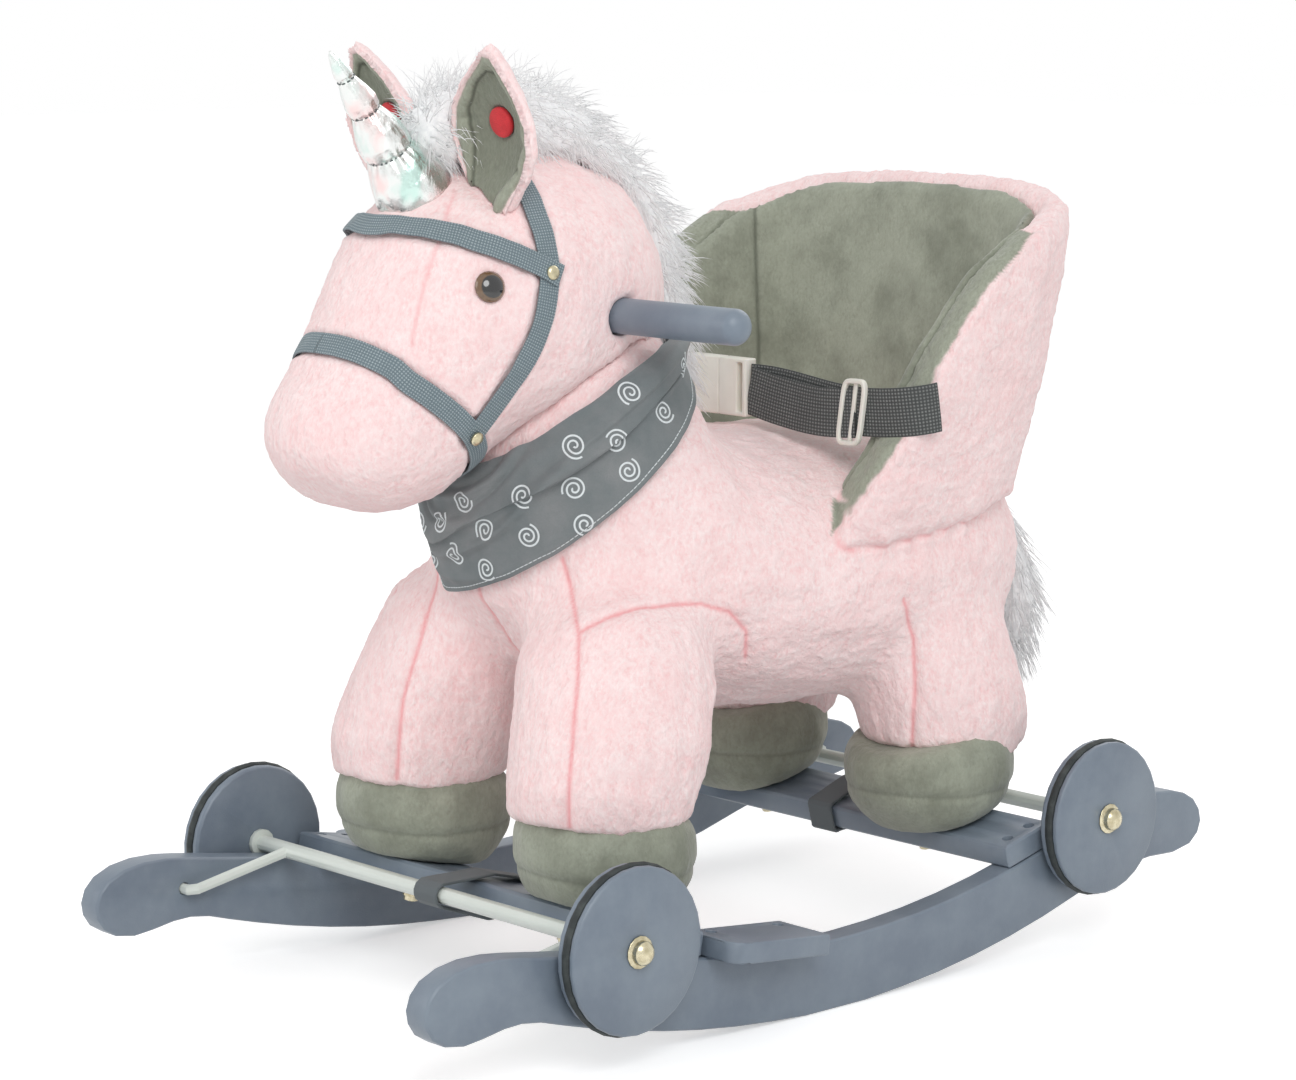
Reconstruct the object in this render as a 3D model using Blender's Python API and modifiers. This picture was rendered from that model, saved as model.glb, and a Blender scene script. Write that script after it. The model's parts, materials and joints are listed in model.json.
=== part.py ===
"""A ride-on unicorn: a plush body with a bucket seat on painted wooden rockers with fold-down wheels.

Metres, +Z up. It faces -Y, its left side is +X, and the origin is on the floor under its middle.
"""
import math

import bmesh
import bpy
from mathutils import Matrix, Vector
from mathutils.bvhtree import BVHTree

# Rockers
ROCKER_THICK = 0.018
ROCKER_INNER_X = 0.146
ROCKER_OUTER_X = ROCKER_INNER_X + ROCKER_THICK
ROCK_RADIUS = 0.740
ROCKER_DEPTH = 0.042
LOW_Y = -0.012
FOOT_HALF = 0.025
EDGE = 0.0015

# Crossboards and footrests
BOARD_THICK = 0.015
BOARD_DEPTH = 0.042
FRONT_BOARD_Y = -0.142
REAR_BOARD_Y = 0.159
FOOTREST_THICK = 0.0125
FOOTREST_GAP = 0.002
FOOTREST_LONG = 0.075
FOOTREST_FRONT = FRONT_BOARD_Y + BOARD_DEPTH / 2 + FOOTREST_GAP
FOOTREST_Y = (FOOTREST_FRONT, FOOTREST_FRONT + FOOTREST_LONG)
FOOTREST_OUTER_X = 0.189
FOOTREST_CORNER = 0.012
TOUCH = 0.0003
WELD = 0.00001

# Wheel brackets, wheels and axles
TUBE_R = 0.005
ARM_R = 0.0034
ARM_X = 0.1375
FRONT_AXLE_Y = -0.187
REAR_AXLE_Y = 0.208
FRONT_PIVOT = (-0.260, 0.0568)
REAR_PIVOT = (0.281, 0.0654)
PIVOT_HOLE_R = ARM_R + 0.0004
PIVOT_REACH = ROCKER_OUTER_X - 0.002
WHEEL_INNER_X = 0.1682
WHEEL_THICK = 0.0150
WHEEL_R = 0.048
GROOVE_DEPTH = 0.0035
GROOVE_R = WHEEL_R - GROOVE_DEPTH
GROOVE_W = 0.0062
FLANGE_W = 0.0045
TYRE_RISE = 0.0017
TYRE_R = WHEEL_R + TYRE_RISE
TYRE_CHAMFER = 0.0012
AXLE_R = 0.0042
WHEEL_BORE_R = AXLE_R + 0.0003
BUSH_R = 0.0085
CAP_FLANGE_R = 0.0095
CAP_DOME_R = 0.0070
CAP_HEIGHT = 0.0080
AXLE_END_X = WHEEL_INNER_X + WHEEL_THICK + 0.0055

# Plush legs, the wooden frame inside and its bolts
LEG_X = 0.083
FRONT_LEG_Y = -0.132
REAR_LEG_Y = 0.163
HOOF_HEIGHT = 0.058
POST_SIDE = 0.026
POST_FOOT_X = 0.072
POST_TOP_X = 0.058
FRONT_POST_TOP_Y = -0.098
REAR_POST_TOP_Y = 0.150
POST_FIT = 0.0006
SEAT_BOARD_Z = 0.222
SEAT_BOARD_THICK = 0.012
SEAT_BOARD_MARGIN = 0.003
NECK_POST_X = 0.022
NECK_POST_Y = (-0.112, -0.074)
NECK_POST_TOP = 0.440
BOLT_R = 0.003
NUT_R = 0.0062
HANDLE_R = 0.0105
HANDLE_HALF = 0.167
HANDLE_Y = -0.0925
HANDLE_Z = 0.408
HANDLE_FIT = 0.0004
PLUSH_FIT = 0.0007

for old in list(bpy.data.objects):
    bpy.data.objects.remove(old, do_unlink=True)

PARTS = bpy.data.collections.new("parts")
CUTTERS = bpy.data.collections.new("cutters")
bpy.context.scene.collection.children.link(PARTS)
bpy.context.scene.collection.children.link(CUTTERS)
CUTTERS.hide_render = True


def material(name, colour, rough, metallic=0.0):
    made = bpy.data.materials.new(name)
    made.use_nodes = True
    shader = made.node_tree.nodes["Principled BSDF"]
    shader.inputs["Base Color"].default_value = (*colour, 1.0)
    shader.inputs["Roughness"].default_value = rough
    shader.inputs["Metallic"].default_value = metallic
    return made


PAINT = material("grey_blue_paint", (0.16, 0.20, 0.24), 0.5)
TUBE = material("white_tube", (0.72, 0.78, 0.74), 0.35)
RUBBER = material("black_rubber", (0.02, 0.025, 0.025), 0.7)
BRASS = material("plated_steel", (0.55, 0.50, 0.38), 0.3, 1.0)
PINK = material("pink_plush", (0.90, 0.62, 0.62), 0.9)
SAGE = material("sage_plush", (0.28, 0.30, 0.23), 0.9)
SHAG = material("white_shag", (0.80, 0.80, 0.80), 0.9)
FOIL = material("silver_foil", (0.70, 0.74, 0.74), 0.25, 0.9)
CLOTH = material("grey_cloth", (0.14, 0.15, 0.16), 0.8)
WEB = material("grey_webbing", (0.18, 0.21, 0.23), 0.8)
BELT = material("dark_webbing", (0.07, 0.075, 0.075), 0.8)
PLASTIC = material("white_plastic", (0.80, 0.78, 0.73), 0.4)
EYE = material("brown_eye", (0.06, 0.03, 0.015), 0.1)
RED = material("red_patch", (0.65, 0.02, 0.05), 0.6)
PLY = material("bare_wood", (0.60, 0.45, 0.28), 0.6)


def keep(name, mesh, made_of, cutter=False):
    """Links a mesh as a part with its material, or as a cutter that no render shows."""
    made = bpy.data.objects.new(name, mesh)
    if cutter:
        CUTTERS.objects.link(made)
        made.hide_render = True
        made.display_type = "WIRE"
    else:
        PARTS.objects.link(made)
        mesh.materials.append(made_of)
    return made


def outward(mesh):
    """Turns a closed mesh's faces outward."""
    mesh.calc_loop_triangles()
    volume = 0.0
    for tri in mesh.loop_triangles:
        a, b, c = (mesh.vertices[i].co for i in tri.vertices)
        volume += a.dot(b.cross(c))
    if volume < 0:
        mesh.flip_normals()


def solid(name, points, faces, made_of, cutter=False):
    """One mesh object through points and faces, with its faces turned outward."""
    mesh = bpy.data.meshes.new(name)
    mesh.from_pydata([tuple(p) for p in points], [], [tuple(f) for f in faces])
    mesh.update()
    outward(mesh)
    if made_of in (PINK, SAGE, SHAG, CLOTH, FOIL):
        # Curved faces are split here, so that a cutter made from them splits the same way.
        work = bmesh.new()
        work.from_mesh(mesh)
        bmesh.ops.triangulate(work, faces=work.faces)
        work.to_mesh(mesh)
        work.free()
    return keep(name, mesh, made_of, cutter)


def loft(rings, start=None, end=None):
    """Points and faces of a closed skin through rings of equal count, with a point or a flat face at each end."""
    count = len(rings[0])
    points = [p for ring in rings for p in ring]
    faces = []
    for r in range(len(rings) - 1):
        for i in range(count):
            j = (i + 1) % count
            a = r * count
            b = a + count
            faces.append((a + i, a + j, b + j, b + i))
    last = (len(rings) - 1) * count
    if start is None:
        faces.append(tuple(reversed(range(count))))
    else:
        points.append(start)
        tip = len(points) - 1
        faces += [((i + 1) % count, i, tip) for i in range(count)]
    if end is None:
        faces.append(tuple(range(last, last + count)))
    else:
        points.append(end)
        tip = len(points) - 1
        faces += [(last + i, last + (i + 1) % count, tip) for i in range(count)]
    return points, faces


def hoop(rings):
    """Points and faces of a skin through rings that close on themselves, as on a tyre."""
    count = len(rings[0])
    points = [p for ring in rings for p in ring]
    faces = []
    for r in range(len(rings)):
        for i in range(count):
            j = (i + 1) % count
            a = r * count
            b = (r + 1) % len(rings) * count
            faces.append((a + i, a + j, b + j, b + i))
    return points, faces


def ring(centre, across, up, count, power=2.0):
    """An ellipse, or with a higher power a rounder-shouldered one, about a centre."""
    made = []
    for i in range(count):
        angle = 2 * math.pi * i / count
        c = math.cos(angle)
        s = math.sin(angle)
        c = math.copysign(abs(c) ** (2 / power), c)
        s = math.copysign(abs(s) ** (2 / power), s)
        made.append(Vector(centre) + Vector(across) * c + Vector(up) * s)
    return made


def between(rows, place):
    """A smooth curve through rows of numbers, read at a place from 0 to len(rows) - 1."""
    last = len(rows) - 1
    k = min(int(place), last - 1)
    t = place - k
    p1 = rows[k]
    p2 = rows[k + 1]
    p0 = rows[k - 1] if k else [2 * a - b for a, b in zip(p1, p2)]
    p3 = rows[k + 2] if k + 2 <= last else [2 * b - a for a, b in zip(p1, p2)]
    return [
        0.5 * (2 * b + (c - a) * t + (2 * a - 5 * b + 4 * c - d) * t * t + (3 * b - a - 3 * c + d) * t ** 3)
        for a, b, c, d in zip(p0, p1, p2, p3)
    ]


def box(name, low, high, made_of, cutter=False):
    """A block from its lowest to its highest corner."""
    size = [b - a for a, b in zip(low, high)]
    middle = [(a + b) / 2 for a, b in zip(low, high)]
    work = bmesh.new()
    bmesh.ops.create_cube(work, size=1.0)
    bmesh.ops.scale(work, vec=size, verts=work.verts)
    bmesh.ops.translate(work, vec=middle, verts=work.verts)
    mesh = bpy.data.meshes.new(name)
    work.to_mesh(mesh)
    work.free()
    return keep(name, mesh, made_of, cutter)


def cylinder(name, foot, top, radius, segments, made_of=None, cutter=True):
    """A round, or with six segments a hexagonal, bar from foot to top."""
    foot = Vector(foot)
    run = Vector(top) - foot
    turn = run.to_track_quat("Z", "Y").to_matrix().to_4x4()
    work = bmesh.new()
    bmesh.ops.create_cone(
        work, cap_ends=True, segments=segments, radius1=radius, radius2=radius,
        depth=run.length, matrix=Matrix.Translation(foot + run / 2) @ turn,
    )
    mesh = bpy.data.meshes.new(name)
    work.to_mesh(mesh)
    work.free()
    return keep(name, mesh, made_of, cutter)


def lathe_x(name, profile, centre, made_of, segments, side=1):
    """A solid turned about an X axis through centre, from (x, radius) pairs given for the left side.

    A profile that starts on the axis makes a full solid, and one that doesn't makes a ring.
    """
    around = profile[0][1] > 0
    count = len(profile)
    edges = [(k, (k + 1) % count) for k in range(count if around else count - 1)]
    mesh = bpy.data.meshes.new(name)
    mesh.from_pydata([(x * side, 0.0, r) for x, r in profile], edges, [])
    made = keep(name, mesh, made_of)
    made.location = (0, *centre)
    area = sum(profile[k - 1][0] * profile[k][1] - profile[k][0] * profile[k - 1][1] for k in range(count))
    turn = made.modifiers.new("turn", "SCREW")
    turn.axis = "X"
    turn.steps = segments
    turn.render_steps = segments
    turn.use_merge_vertices = True
    turn.merge_threshold = WELD
    turn.use_normal_flip = area * side < 0
    return made


def meshed(name, curve):
    """A curve's solid as a mesh, with its caps welded on."""
    guide = bpy.data.objects.new(name, curve)
    CUTTERS.objects.link(guide)
    bpy.context.view_layer.update()
    mesh = bpy.data.meshes.new_from_object(guide.evaluated_get(bpy.context.evaluated_depsgraph_get()))
    bpy.data.objects.remove(guide, do_unlink=True)
    work = bmesh.new()
    work.from_mesh(mesh)
    bmesh.ops.remove_doubles(work, verts=work.verts, dist=WELD)
    work.to_mesh(mesh)
    work.free()
    mesh.name = name
    return mesh


def rod(name, path, radius, made_of=None, cutter=True):
    """A round bar along a path."""
    curve = bpy.data.curves.new(name, "CURVE")
    curve.dimensions = "3D"
    curve.bevel_depth = radius
    curve.bevel_resolution = 2
    curve.use_fill_caps = True
    line = curve.splines.new("POLY")
    line.points.add(len(path) - 1)
    for point, place in zip(line.points, path):
        point.co = (*place, 1.0)
    mesh = meshed(name, curve)
    outward(mesh)
    return keep(name, mesh, made_of, cutter)


def plate(name, outline, thickness, frame, made_of):
    """A flat plate: its outline lies in the frame's XY plane, and it is as thick above that plane as below."""
    curve = bpy.data.curves.new(name, "CURVE")
    curve.dimensions = "2D"
    curve.fill_mode = "BOTH"
    curve.extrude = thickness / 2
    line = curve.splines.new("POLY")
    line.use_cyclic_u = True
    line.points.add(len(outline) - 1)
    for point, (u, v) in zip(line.points, outline):
        point.co = (u, v, 0.0, 1.0)
    mesh = meshed(name, curve)
    mesh.transform(frame)
    outward(mesh)
    return keep(name, mesh, made_of)


def axis_at(name, place):
    """An empty on a joint's axis, which carries the pieces that move about it."""
    made = bpy.data.objects.new(name, None)
    made.location = place
    PARTS.objects.link(made)
    return made


def carry(axis, *pieces):
    """Parents pieces to an axis and leaves them where they are."""
    for piece in pieces:
        piece.parent = axis
        piece.matrix_parent_inverse = Matrix.Translation(-axis.location)


def boolean(target, tool, kind="DIFFERENCE"):
    change = target.modifiers.new(kind.lower() + " " + tool.name, "BOOLEAN")
    change.operation = kind
    change.solver = "EXACT"
    change.object = tool
    return change


def grown(source, gap):
    """A cutter that is the source's own skin moved outward by a gap."""
    name = source.name + "_cutter"
    if name in bpy.data.objects:
        return bpy.data.objects[name]
    mesh = source.data.copy()
    out = [v.normal.copy() for v in mesh.vertices]
    for v, n in zip(mesh.vertices, out):
        v.co += n * gap
    made = bpy.data.objects.new(name, mesh)
    made.matrix_world = source.matrix_world
    CUTTERS.objects.link(made)
    made.hide_render = True
    made.display_type = "WIRE"
    return made


def cut_by(target, *sources, gap=PLUSH_FIT):
    for source in sources:
        boolean(target, grown(source, gap))


# Rocker outline: two arcs about one centre, and a swelling at each tip
def under(y):
    return ROCK_RADIUS - math.sqrt(ROCK_RADIUS ** 2 - (y - LOW_Y) ** 2)


def over(y):
    inner = ROCK_RADIUS - ROCKER_DEPTH
    return ROCK_RADIUS - math.sqrt(inner ** 2 - (y - LOW_Y) ** 2)


def slope_over(y):
    return (over(y + 0.001) - over(y - 0.001)) / 0.002


FRONT_TIP = [
    (-0.226, 0.0315), (-0.241, 0.0360), (-0.255, 0.0380), (-0.267, 0.0375), (-0.282, 0.0350),
    (-0.296, 0.0335), (-0.309, 0.0357), (-0.3175, 0.0410), (-0.3220, 0.0480), (-0.3232, 0.0555),
    (-0.3205, 0.0635), (-0.3140, 0.0702), (-0.3025, 0.0752), (-0.2880, 0.0775), (-0.2720, 0.0773),
    (-0.2570, 0.0755), (-0.2310, 0.0712), (-0.2070, 0.0675),
]
REAR_TIP = [
    (0.233, 0.0830), (0.253, 0.0862), (0.275, 0.0868), (0.293, 0.0850), (0.306, 0.0815),
    (0.3155, 0.0762), (0.3212, 0.0690), (0.3232, 0.0610), (0.3202, 0.0530), (0.3125, 0.0468),
    (0.296, 0.0437), (0.273, 0.0446), (0.248, 0.0428), (0.223, 0.0372),
]
ARC_STEPS = 7
TIP_BLEND = 0.020


def rocker_outline():
    """The side view of a rocker, going round from the front of its foot."""
    outline = [(LOW_Y - FOOT_HALF, 0.0)]
    start = LOW_Y - FOOT_HALF
    for k in range(1, ARC_STEPS):
        y = start + (FRONT_TIP[0][0] + TIP_BLEND - start) * k / (ARC_STEPS - 1)
        outline.append((y, under(y)))
    outline += FRONT_TIP
    first = FRONT_TIP[-1][0] + TIP_BLEND
    last = REAR_TIP[0][0] - TIP_BLEND
    for k in range(2 * ARC_STEPS):
        y = first + (last - first) * k / (2 * ARC_STEPS - 1)
        outline.append((y, over(y)))
    outline += REAR_TIP
    first = REAR_TIP[-1][0] - TIP_BLEND
    end = LOW_Y + FOOT_HALF
    for k in range(ARC_STEPS - 1):
        y = first + (end - first) * k / (ARC_STEPS - 1)
        outline.append((y, under(y)))
    outline.append((end, 0.0))
    return outline


def soft_edges(made, width=EDGE, limit=50):
    change = made.modifiers.new("edges", "BEVEL")
    change.width = width
    change.segments = 1
    change.limit_method = "ANGLE"
    change.angle_limit = math.radians(limit)
    return change


SIDE_VIEW = Matrix(((0, 0, 1, 0), (1, 0, 0, 0), (0, 1, 0, 0), (0, 0, 0, 1)))
for side, word in ((1, "left"), (-1, "right")):
    middle = Matrix.Translation((side * (ROCKER_INNER_X + ROCKER_OUTER_X) / 2, 0, 0))
    rocker = plate(word + "_rocker", rocker_outline(), ROCKER_THICK, middle @ SIDE_VIEW, PAINT)
    soft_edges(rocker)
    for place, pivot in (("front", FRONT_PIVOT), ("rear", REAR_PIVOT)):
        inner = (side * (ROCKER_INNER_X - 0.002), *pivot)
        bottom = (side * (PIVOT_REACH + 0.0006), *pivot)
        boolean(rocker, cylinder(f"{word}_{place}_pivot_hole", inner, bottom, PIVOT_HOLE_R, 16))


def on_rockers(y, along, up):
    """The point a distance along and above the chord of the rocker tops about y, as (y, z)."""
    half = BOARD_DEPTH / 2
    rise = (over(y + half) - over(y - half)) / (2 * half)
    angle = math.atan(rise)
    base = 0.5 * (over(y + half) + over(y - half)) + TOUCH
    return (
        y + along * math.cos(angle) - up * math.sin(angle),
        base + along * math.sin(angle) + up * math.cos(angle),
    )


def tilt_at(y):
    half = BOARD_DEPTH / 2
    return math.atan((over(y + half) - over(y - half)) / (2 * half))


def upright(name, x, y, low, high, radius, segments=12, made_of=None, cutter=True):
    """A round bar square to the board at y, from low to high above the rocker tops."""
    foot = (x, *on_rockers(y, 0.0, low))
    top = (x, *on_rockers(y, 0.0, high))
    return cylinder(name, foot, top, radius, segments, made_of, cutter)


SCREW_HOLE_R = 0.0036
SCREW_HOLE_DEPTH = 0.005
SCREW_SPACING = 0.020
boards = {}
for word, y in (("front", FRONT_BOARD_Y), ("rear", REAR_BOARD_Y)):
    size = Vector((ROCKER_OUTER_X, BOARD_DEPTH / 2, BOARD_THICK / 2))
    board = box(word + "_crossboard", -size, size, PAINT)
    board.location = (0, *on_rockers(y, 0.0, BOARD_THICK / 2))
    board.rotation_euler.x = tilt_at(y)
    soft_edges(board)
    for side in (1, -1):
        x = side * (ROCKER_INNER_X + ROCKER_OUTER_X) / 2
        for along in (-SCREW_SPACING / 2, SCREW_SPACING / 2):
            bottom = (x, *on_rockers(y, along, BOARD_THICK - SCREW_HOLE_DEPTH))
            mouth = (x, *on_rockers(y, along, BOARD_THICK + 0.002))
            boolean(board, cylinder(f"{word}_screw_hole_{side}_{along:.2f}", bottom, mouth, SCREW_HOLE_R, 10))
    boards[word] = board

for side, word in ((1, "left"), (-1, "right")):
    front, back = FOOTREST_Y
    slope = math.atan((over(back) - over(front)) / (back - front))
    long = (back - front) / math.cos(slope)
    width = FOOTREST_OUTER_X - ROCKER_INNER_X
    r = FOOTREST_CORNER
    plan = [(0, 0), (0, long), (side * width, long)]
    for k in range(5):
        angle = math.pi / 2 * k / 4
        plan.append((side * (width - r + r * math.cos(angle)), r - r * math.sin(angle)))
    lie = Matrix.Translation((side * ROCKER_INNER_X, front, over(front) + TOUCH)) @ Matrix.Rotation(slope, 4, "X")
    lift = Matrix.Translation((0, 0, FOOTREST_THICK / 2))
    footrest = plate(word + "_footrest", plan, FOOTREST_THICK, lie @ lift, PAINT)
    soft_edges(footrest)
    for place in (0.012, long - 0.010):
        bottom = lie @ Vector((side * ROCKER_THICK / 2, place, FOOTREST_THICK - SCREW_HOLE_DEPTH))
        mouth = lie @ Vector((side * ROCKER_THICK / 2, place, FOOTREST_THICK + 0.002))
        boolean(footrest, cylinder(f"{word}_footrest_hole_{place:.2f}", bottom, mouth, SCREW_HOLE_R, 10))

# Wheel brackets: a tube across the rocker tops, with an arm welded on at each side
def axle_height(y):
    return over(y) + (TUBE_R + TOUCH + 0.0002) / math.cos(math.atan(slope_over(y)))


AROUND_WHEEL = 30
WHEELS = {}
for word, axle_y, pivot in (("front", FRONT_AXLE_Y, FRONT_PIVOT), ("rear", REAR_AXLE_Y, REAR_PIVOT)):
    axle = (axle_y, axle_height(axle_y))
    tube_end = WHEEL_INNER_X - 0.0002
    half_profile = [
        (tube_end - 0.003, TUBE_R), (tube_end - 0.003, BUSH_R), (tube_end, BUSH_R), (tube_end, AXLE_R),
        (AXLE_END_X, AXLE_R), (AXLE_END_X, 0.0),
    ]
    profile = [(-x, r) for x, r in reversed(half_profile)] + half_profile
    bracket = lathe_x(word + "_wheel_bracket", profile, axle, TUBE, 12)
    for side in (1, -1):
        toward = 1 if pivot[0] > axle_y else -1
        path = [
            (side * ARM_X, axle[0] + toward * 0.001, axle[1]),
            (side * ARM_X, pivot[0] - toward * 0.004, pivot[1] + 0.0007),
            (side * (ARM_X + 0.004), pivot[0], pivot[1]),
            (side * PIVOT_REACH, pivot[0], pivot[1]),
        ]
        boolean(bracket, rod(f"{word}_arm_{side}", path, ARM_R), "UNION")
    fold_axis = axis_at(word + "_bracket_axis", (0, *pivot))
    carry(fold_axis, bracket)
    WHEELS[word] = axle
    for side, hand in ((1, "left"), (-1, "right")):
        x0 = WHEEL_INNER_X
        x1 = x0 + WHEEL_THICK
        g0 = x0 + FLANGE_W
        g1 = g0 + GROOVE_W
        name = f"{word}_{hand}"
        wheel = lathe_x(
            name + "_wheel",
            [
                (x0, WHEEL_BORE_R), (x0, WHEEL_R - EDGE), (x0 + EDGE, WHEEL_R), (g0, WHEEL_R), (g0, GROOVE_R),
                (g1, GROOVE_R), (g1, WHEEL_R), (x1 - EDGE, WHEEL_R), (x1, WHEEL_R - 1.5 * EDGE),
                (x1, WHEEL_BORE_R),
            ],
            axle, PAINT, AROUND_WHEEL, side,
        )
        tyre = lathe_x(
            name + "_tyre",
            [
                (g0 + TOUCH, GROOVE_R + TOUCH), (g0 + TOUCH, TYRE_R - TYRE_CHAMFER), ((g0 + g1) / 2, TYRE_R),
                (g1 - TOUCH, TYRE_R - TYRE_CHAMFER), (g1 - TOUCH, GROOVE_R + TOUCH),
            ],
            axle, RUBBER, AROUND_WHEEL, side,
        )
        c0 = x1 + TOUCH
        bore = AXLE_R + 0.0002
        bottom = AXLE_END_X + 0.0004
        cap = lathe_x(
            name + "_axle_cap",
            [
                (c0 + CAP_HEIGHT, 0.0), (c0 + 0.0068, CAP_DOME_R * 0.68), (c0 + 0.0045, CAP_DOME_R),
                (c0 + 0.0012, CAP_DOME_R), (c0 + 0.0008, CAP_FLANGE_R), (c0, CAP_FLANGE_R), (c0, bore),
                (bottom, bore), (bottom, 0.0),
            ],
            axle, BRASS, 14, side,
        )
        carry(fold_axis, wheel, tyre, cap)

# Hook-and-loop straps that hold each tube to its board
STRAP_W = 0.021
STRAP_T = 0.0018
STRAP_X = 0.004
STRAP_CLEAR = 0.0012


def strap(word, y, axle):
    """A flat band round the board and the tube, as an oval in side view."""
    half = BOARD_DEPTH / 2
    toward = -1 if axle[0] < y else 1
    inner = []
    clear = STRAP_CLEAR
    fy, fz = on_rockers(y, -toward * half, -clear)
    inner.append((fy - toward * clear * 0.4, fz))
    fy, fz = on_rockers(y, -toward * (half + clear), 0.0)
    inner.append((fy, fz))
    fy, fz = on_rockers(y, -toward * (half + clear), BOARD_THICK)
    inner.append((fy, fz))
    fy, fz = on_rockers(y, -toward * half, BOARD_THICK + clear)
    inner.append((fy, fz))
    fy, fz = on_rockers(y, toward * half * 0.5, BOARD_THICK + 0.004)
    inner.append((fy, fz))
    r = TUBE_R + clear
    for degrees in (75, 40, 5, -30, -65):
        angle = math.radians(degrees)
        inner.append((axle[0] + toward * r * math.cos(angle), axle[1] + r * math.sin(angle)))
    fy, fz = on_rockers(y, toward * half * 0.5, -0.006)
    inner.append((fy, fz))
    count = len(inner)
    outer = []
    for k in range(count):
        p = Vector(inner[k])
        a = Vector(inner[k - 1])
        b = Vector(inner[(k + 1) % count])
        n1 = Vector(((p - a).y, -(p - a).x)).normalized()
        n2 = Vector(((b - p).y, -(b - p).x)).normalized()
        n = (n1 + n2)
        n *= 1.0 / max(0.6, n.length_squared / 2)
        outer.append((p, n))
    area = sum(inner[k - 1][0] * inner[k][1] - inner[k][0] * inner[k - 1][1] for k in range(count))
    sign = 1 if area > 0 else -1
    rings = []
    for k in range(count):
        p, n = outer[k]
        q = p + n * STRAP_T * sign
        rings.append([
            Vector((STRAP_X - STRAP_W / 2, p.x, p.y)), Vector((STRAP_X + STRAP_W / 2, p.x, p.y)),
            Vector((STRAP_X + STRAP_W / 2, q.x, q.y)), Vector((STRAP_X - STRAP_W / 2, q.x, q.y)),
        ])
    points, faces = hoop(rings)
    return solid(word + "_strap", points, faces, WEB)


strap("front", FRONT_BOARD_Y, WHEELS["front"])
strap("rear", REAR_BOARD_Y, WHEELS["rear"])

# Plush body: each row is the back line (y, z), the front or belly line (y, z) and the half width, in mm
BODY = [
    (241, 283, 244, 203, 60), (219, 310, 225, 172, 93), (182, 323, 188, 157, 110), (130, 326, 131, 152, 117),
    (70, 326, 70, 151, 115), (18, 330, 8, 156, 110), (-8, 340, -52, 170, 105), (-14, 356, -112, 197, 98),
    (-20, 376, -149, 238, 88), (-32, 398, -162, 285, 78), (-52, 408, -158, 330, 66), (-74, 404, -144, 360, 46),
]
BODY_ENDS = ((252, 243), (-108, 388))
HEAD = [
    (-36, 460, -33, 382, 38), (-62, 489, -55, 354, 58), (-100, 502, -85, 341, 69), (-146, 502, -115, 337, 73),
    (-190, 488, -142, 334, 71), (-222, 464, -162, 326, 66), (-242, 434, -178, 315, 59), (-256, 406, -192, 305, 53),
    (-268, 389, -213, 300, 51), (-281, 372, -237, 301, 46), (-288, 356, -258, 306, 36), (-290, 344, -273, 318, 21),
]
HEAD_ENDS = ((-25, 421), (-286, 330))
BODY_SEGMENTS = 24
MM = 0.001


def form(name, rows, ends, made_of, segments, steps, power=2.0):
    """A stuffed form through rows of back line, front line and half width."""
    rings = []
    total = (len(rows) - 1) * steps
    for k in range(total + 1):
        ty, tz, by, bz, a = (v * MM for v in between(rows, k / steps))
        centre = (0, (ty + by) / 2, (tz + bz) / 2)
        rings.append(ring(centre, (a, 0, 0), (0, (ty - by) / 2, (tz - bz) / 2), segments, power))
    first, last = ((0, y * MM, z * MM) for y, z in ends)
    points, faces = loft(rings, Vector(first), Vector(last))
    return solid(name, points, faces, made_of)


body = form("body", BODY, BODY_ENDS, PINK, BODY_SEGMENTS, 1, 2.15)
head = form("head", HEAD, HEAD_ENDS, PINK, BODY_SEGMENTS, 1, 2.1)
skin = BVHTree.FromPolygons([v.co for v in head.data.vertices], [p.vertices for p in head.data.polygons])
cut_by(head, body)

# Legs lean in toward their tops: each row is x, y, z, half width across and half depth along, in mm
FRONT_LEG = [
    (83, -129, 114, 47, 54), (83, -124, 138, 51, 59), (80, -115, 164, 53, 62), (74, -107, 190, 53, 63),
    (68, -101, 214, 51, 60), (63, -97, 236, 45, 52), (60, -95, 251, 32, 36),
]
REAR_LEG = [
    (83, 165, 112, 46, 53), (83, 165, 136, 48, 56), (79, 160, 162, 50, 58), (72, 154, 190, 51, 60),
    (66, 149, 216, 50, 58), (62, 146, 238, 43, 49), (60, 145, 252, 30, 34),
]


def leg(name, rows, side, base_y):
    tilt = tilt_at(base_y)
    rings = []
    for k, (x, y, z, a, b) in enumerate(rows):
        lean = math.tan(tilt) * max(0.0, 1.0 - k / 3)
        rings.append(ring((x * MM * side, y * MM, z * MM), (a * MM, 0, 0), (0, b * MM, b * MM * lean), LEG_SEGMENTS, 2.1))
    x, y, z, a, b = rows[-1]
    points, faces = loft(rings, None, Vector((x * MM * side, y * MM, (z + 8) * MM)))
    return solid(name, points, faces, PINK)


# Hooves: height above the board, half width and half depth, in mm
HOOF = [(0.4, 36, 37), (3, 43, 41), (11, 49, 46.5), (24, 51.5, 54.5), (38, 51, 57), (50, 48.5, 54.5), (HOOF_HEIGHT / MM, 43, 48)]
LEG_SEGMENTS = 18


def hoof(name, side, base_y):
    """A padded hoof that stands on its board and is tilted with it."""
    tilt = tilt_at(base_y)
    rings = []
    for up, a, b in HOOF:
        cy, cz = on_rockers(base_y, 0.0, BOARD_THICK + up * MM)
        rings.append(ring(
            (LEG_X * side, cy, cz), (a * MM, 0, 0),
            (0, b * MM * math.cos(tilt), b * MM * math.sin(tilt)), LEG_SEGMENTS, 2.1,
        ))
    points, faces = loft(rings)
    return solid(name, points, faces, SAGE)


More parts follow.
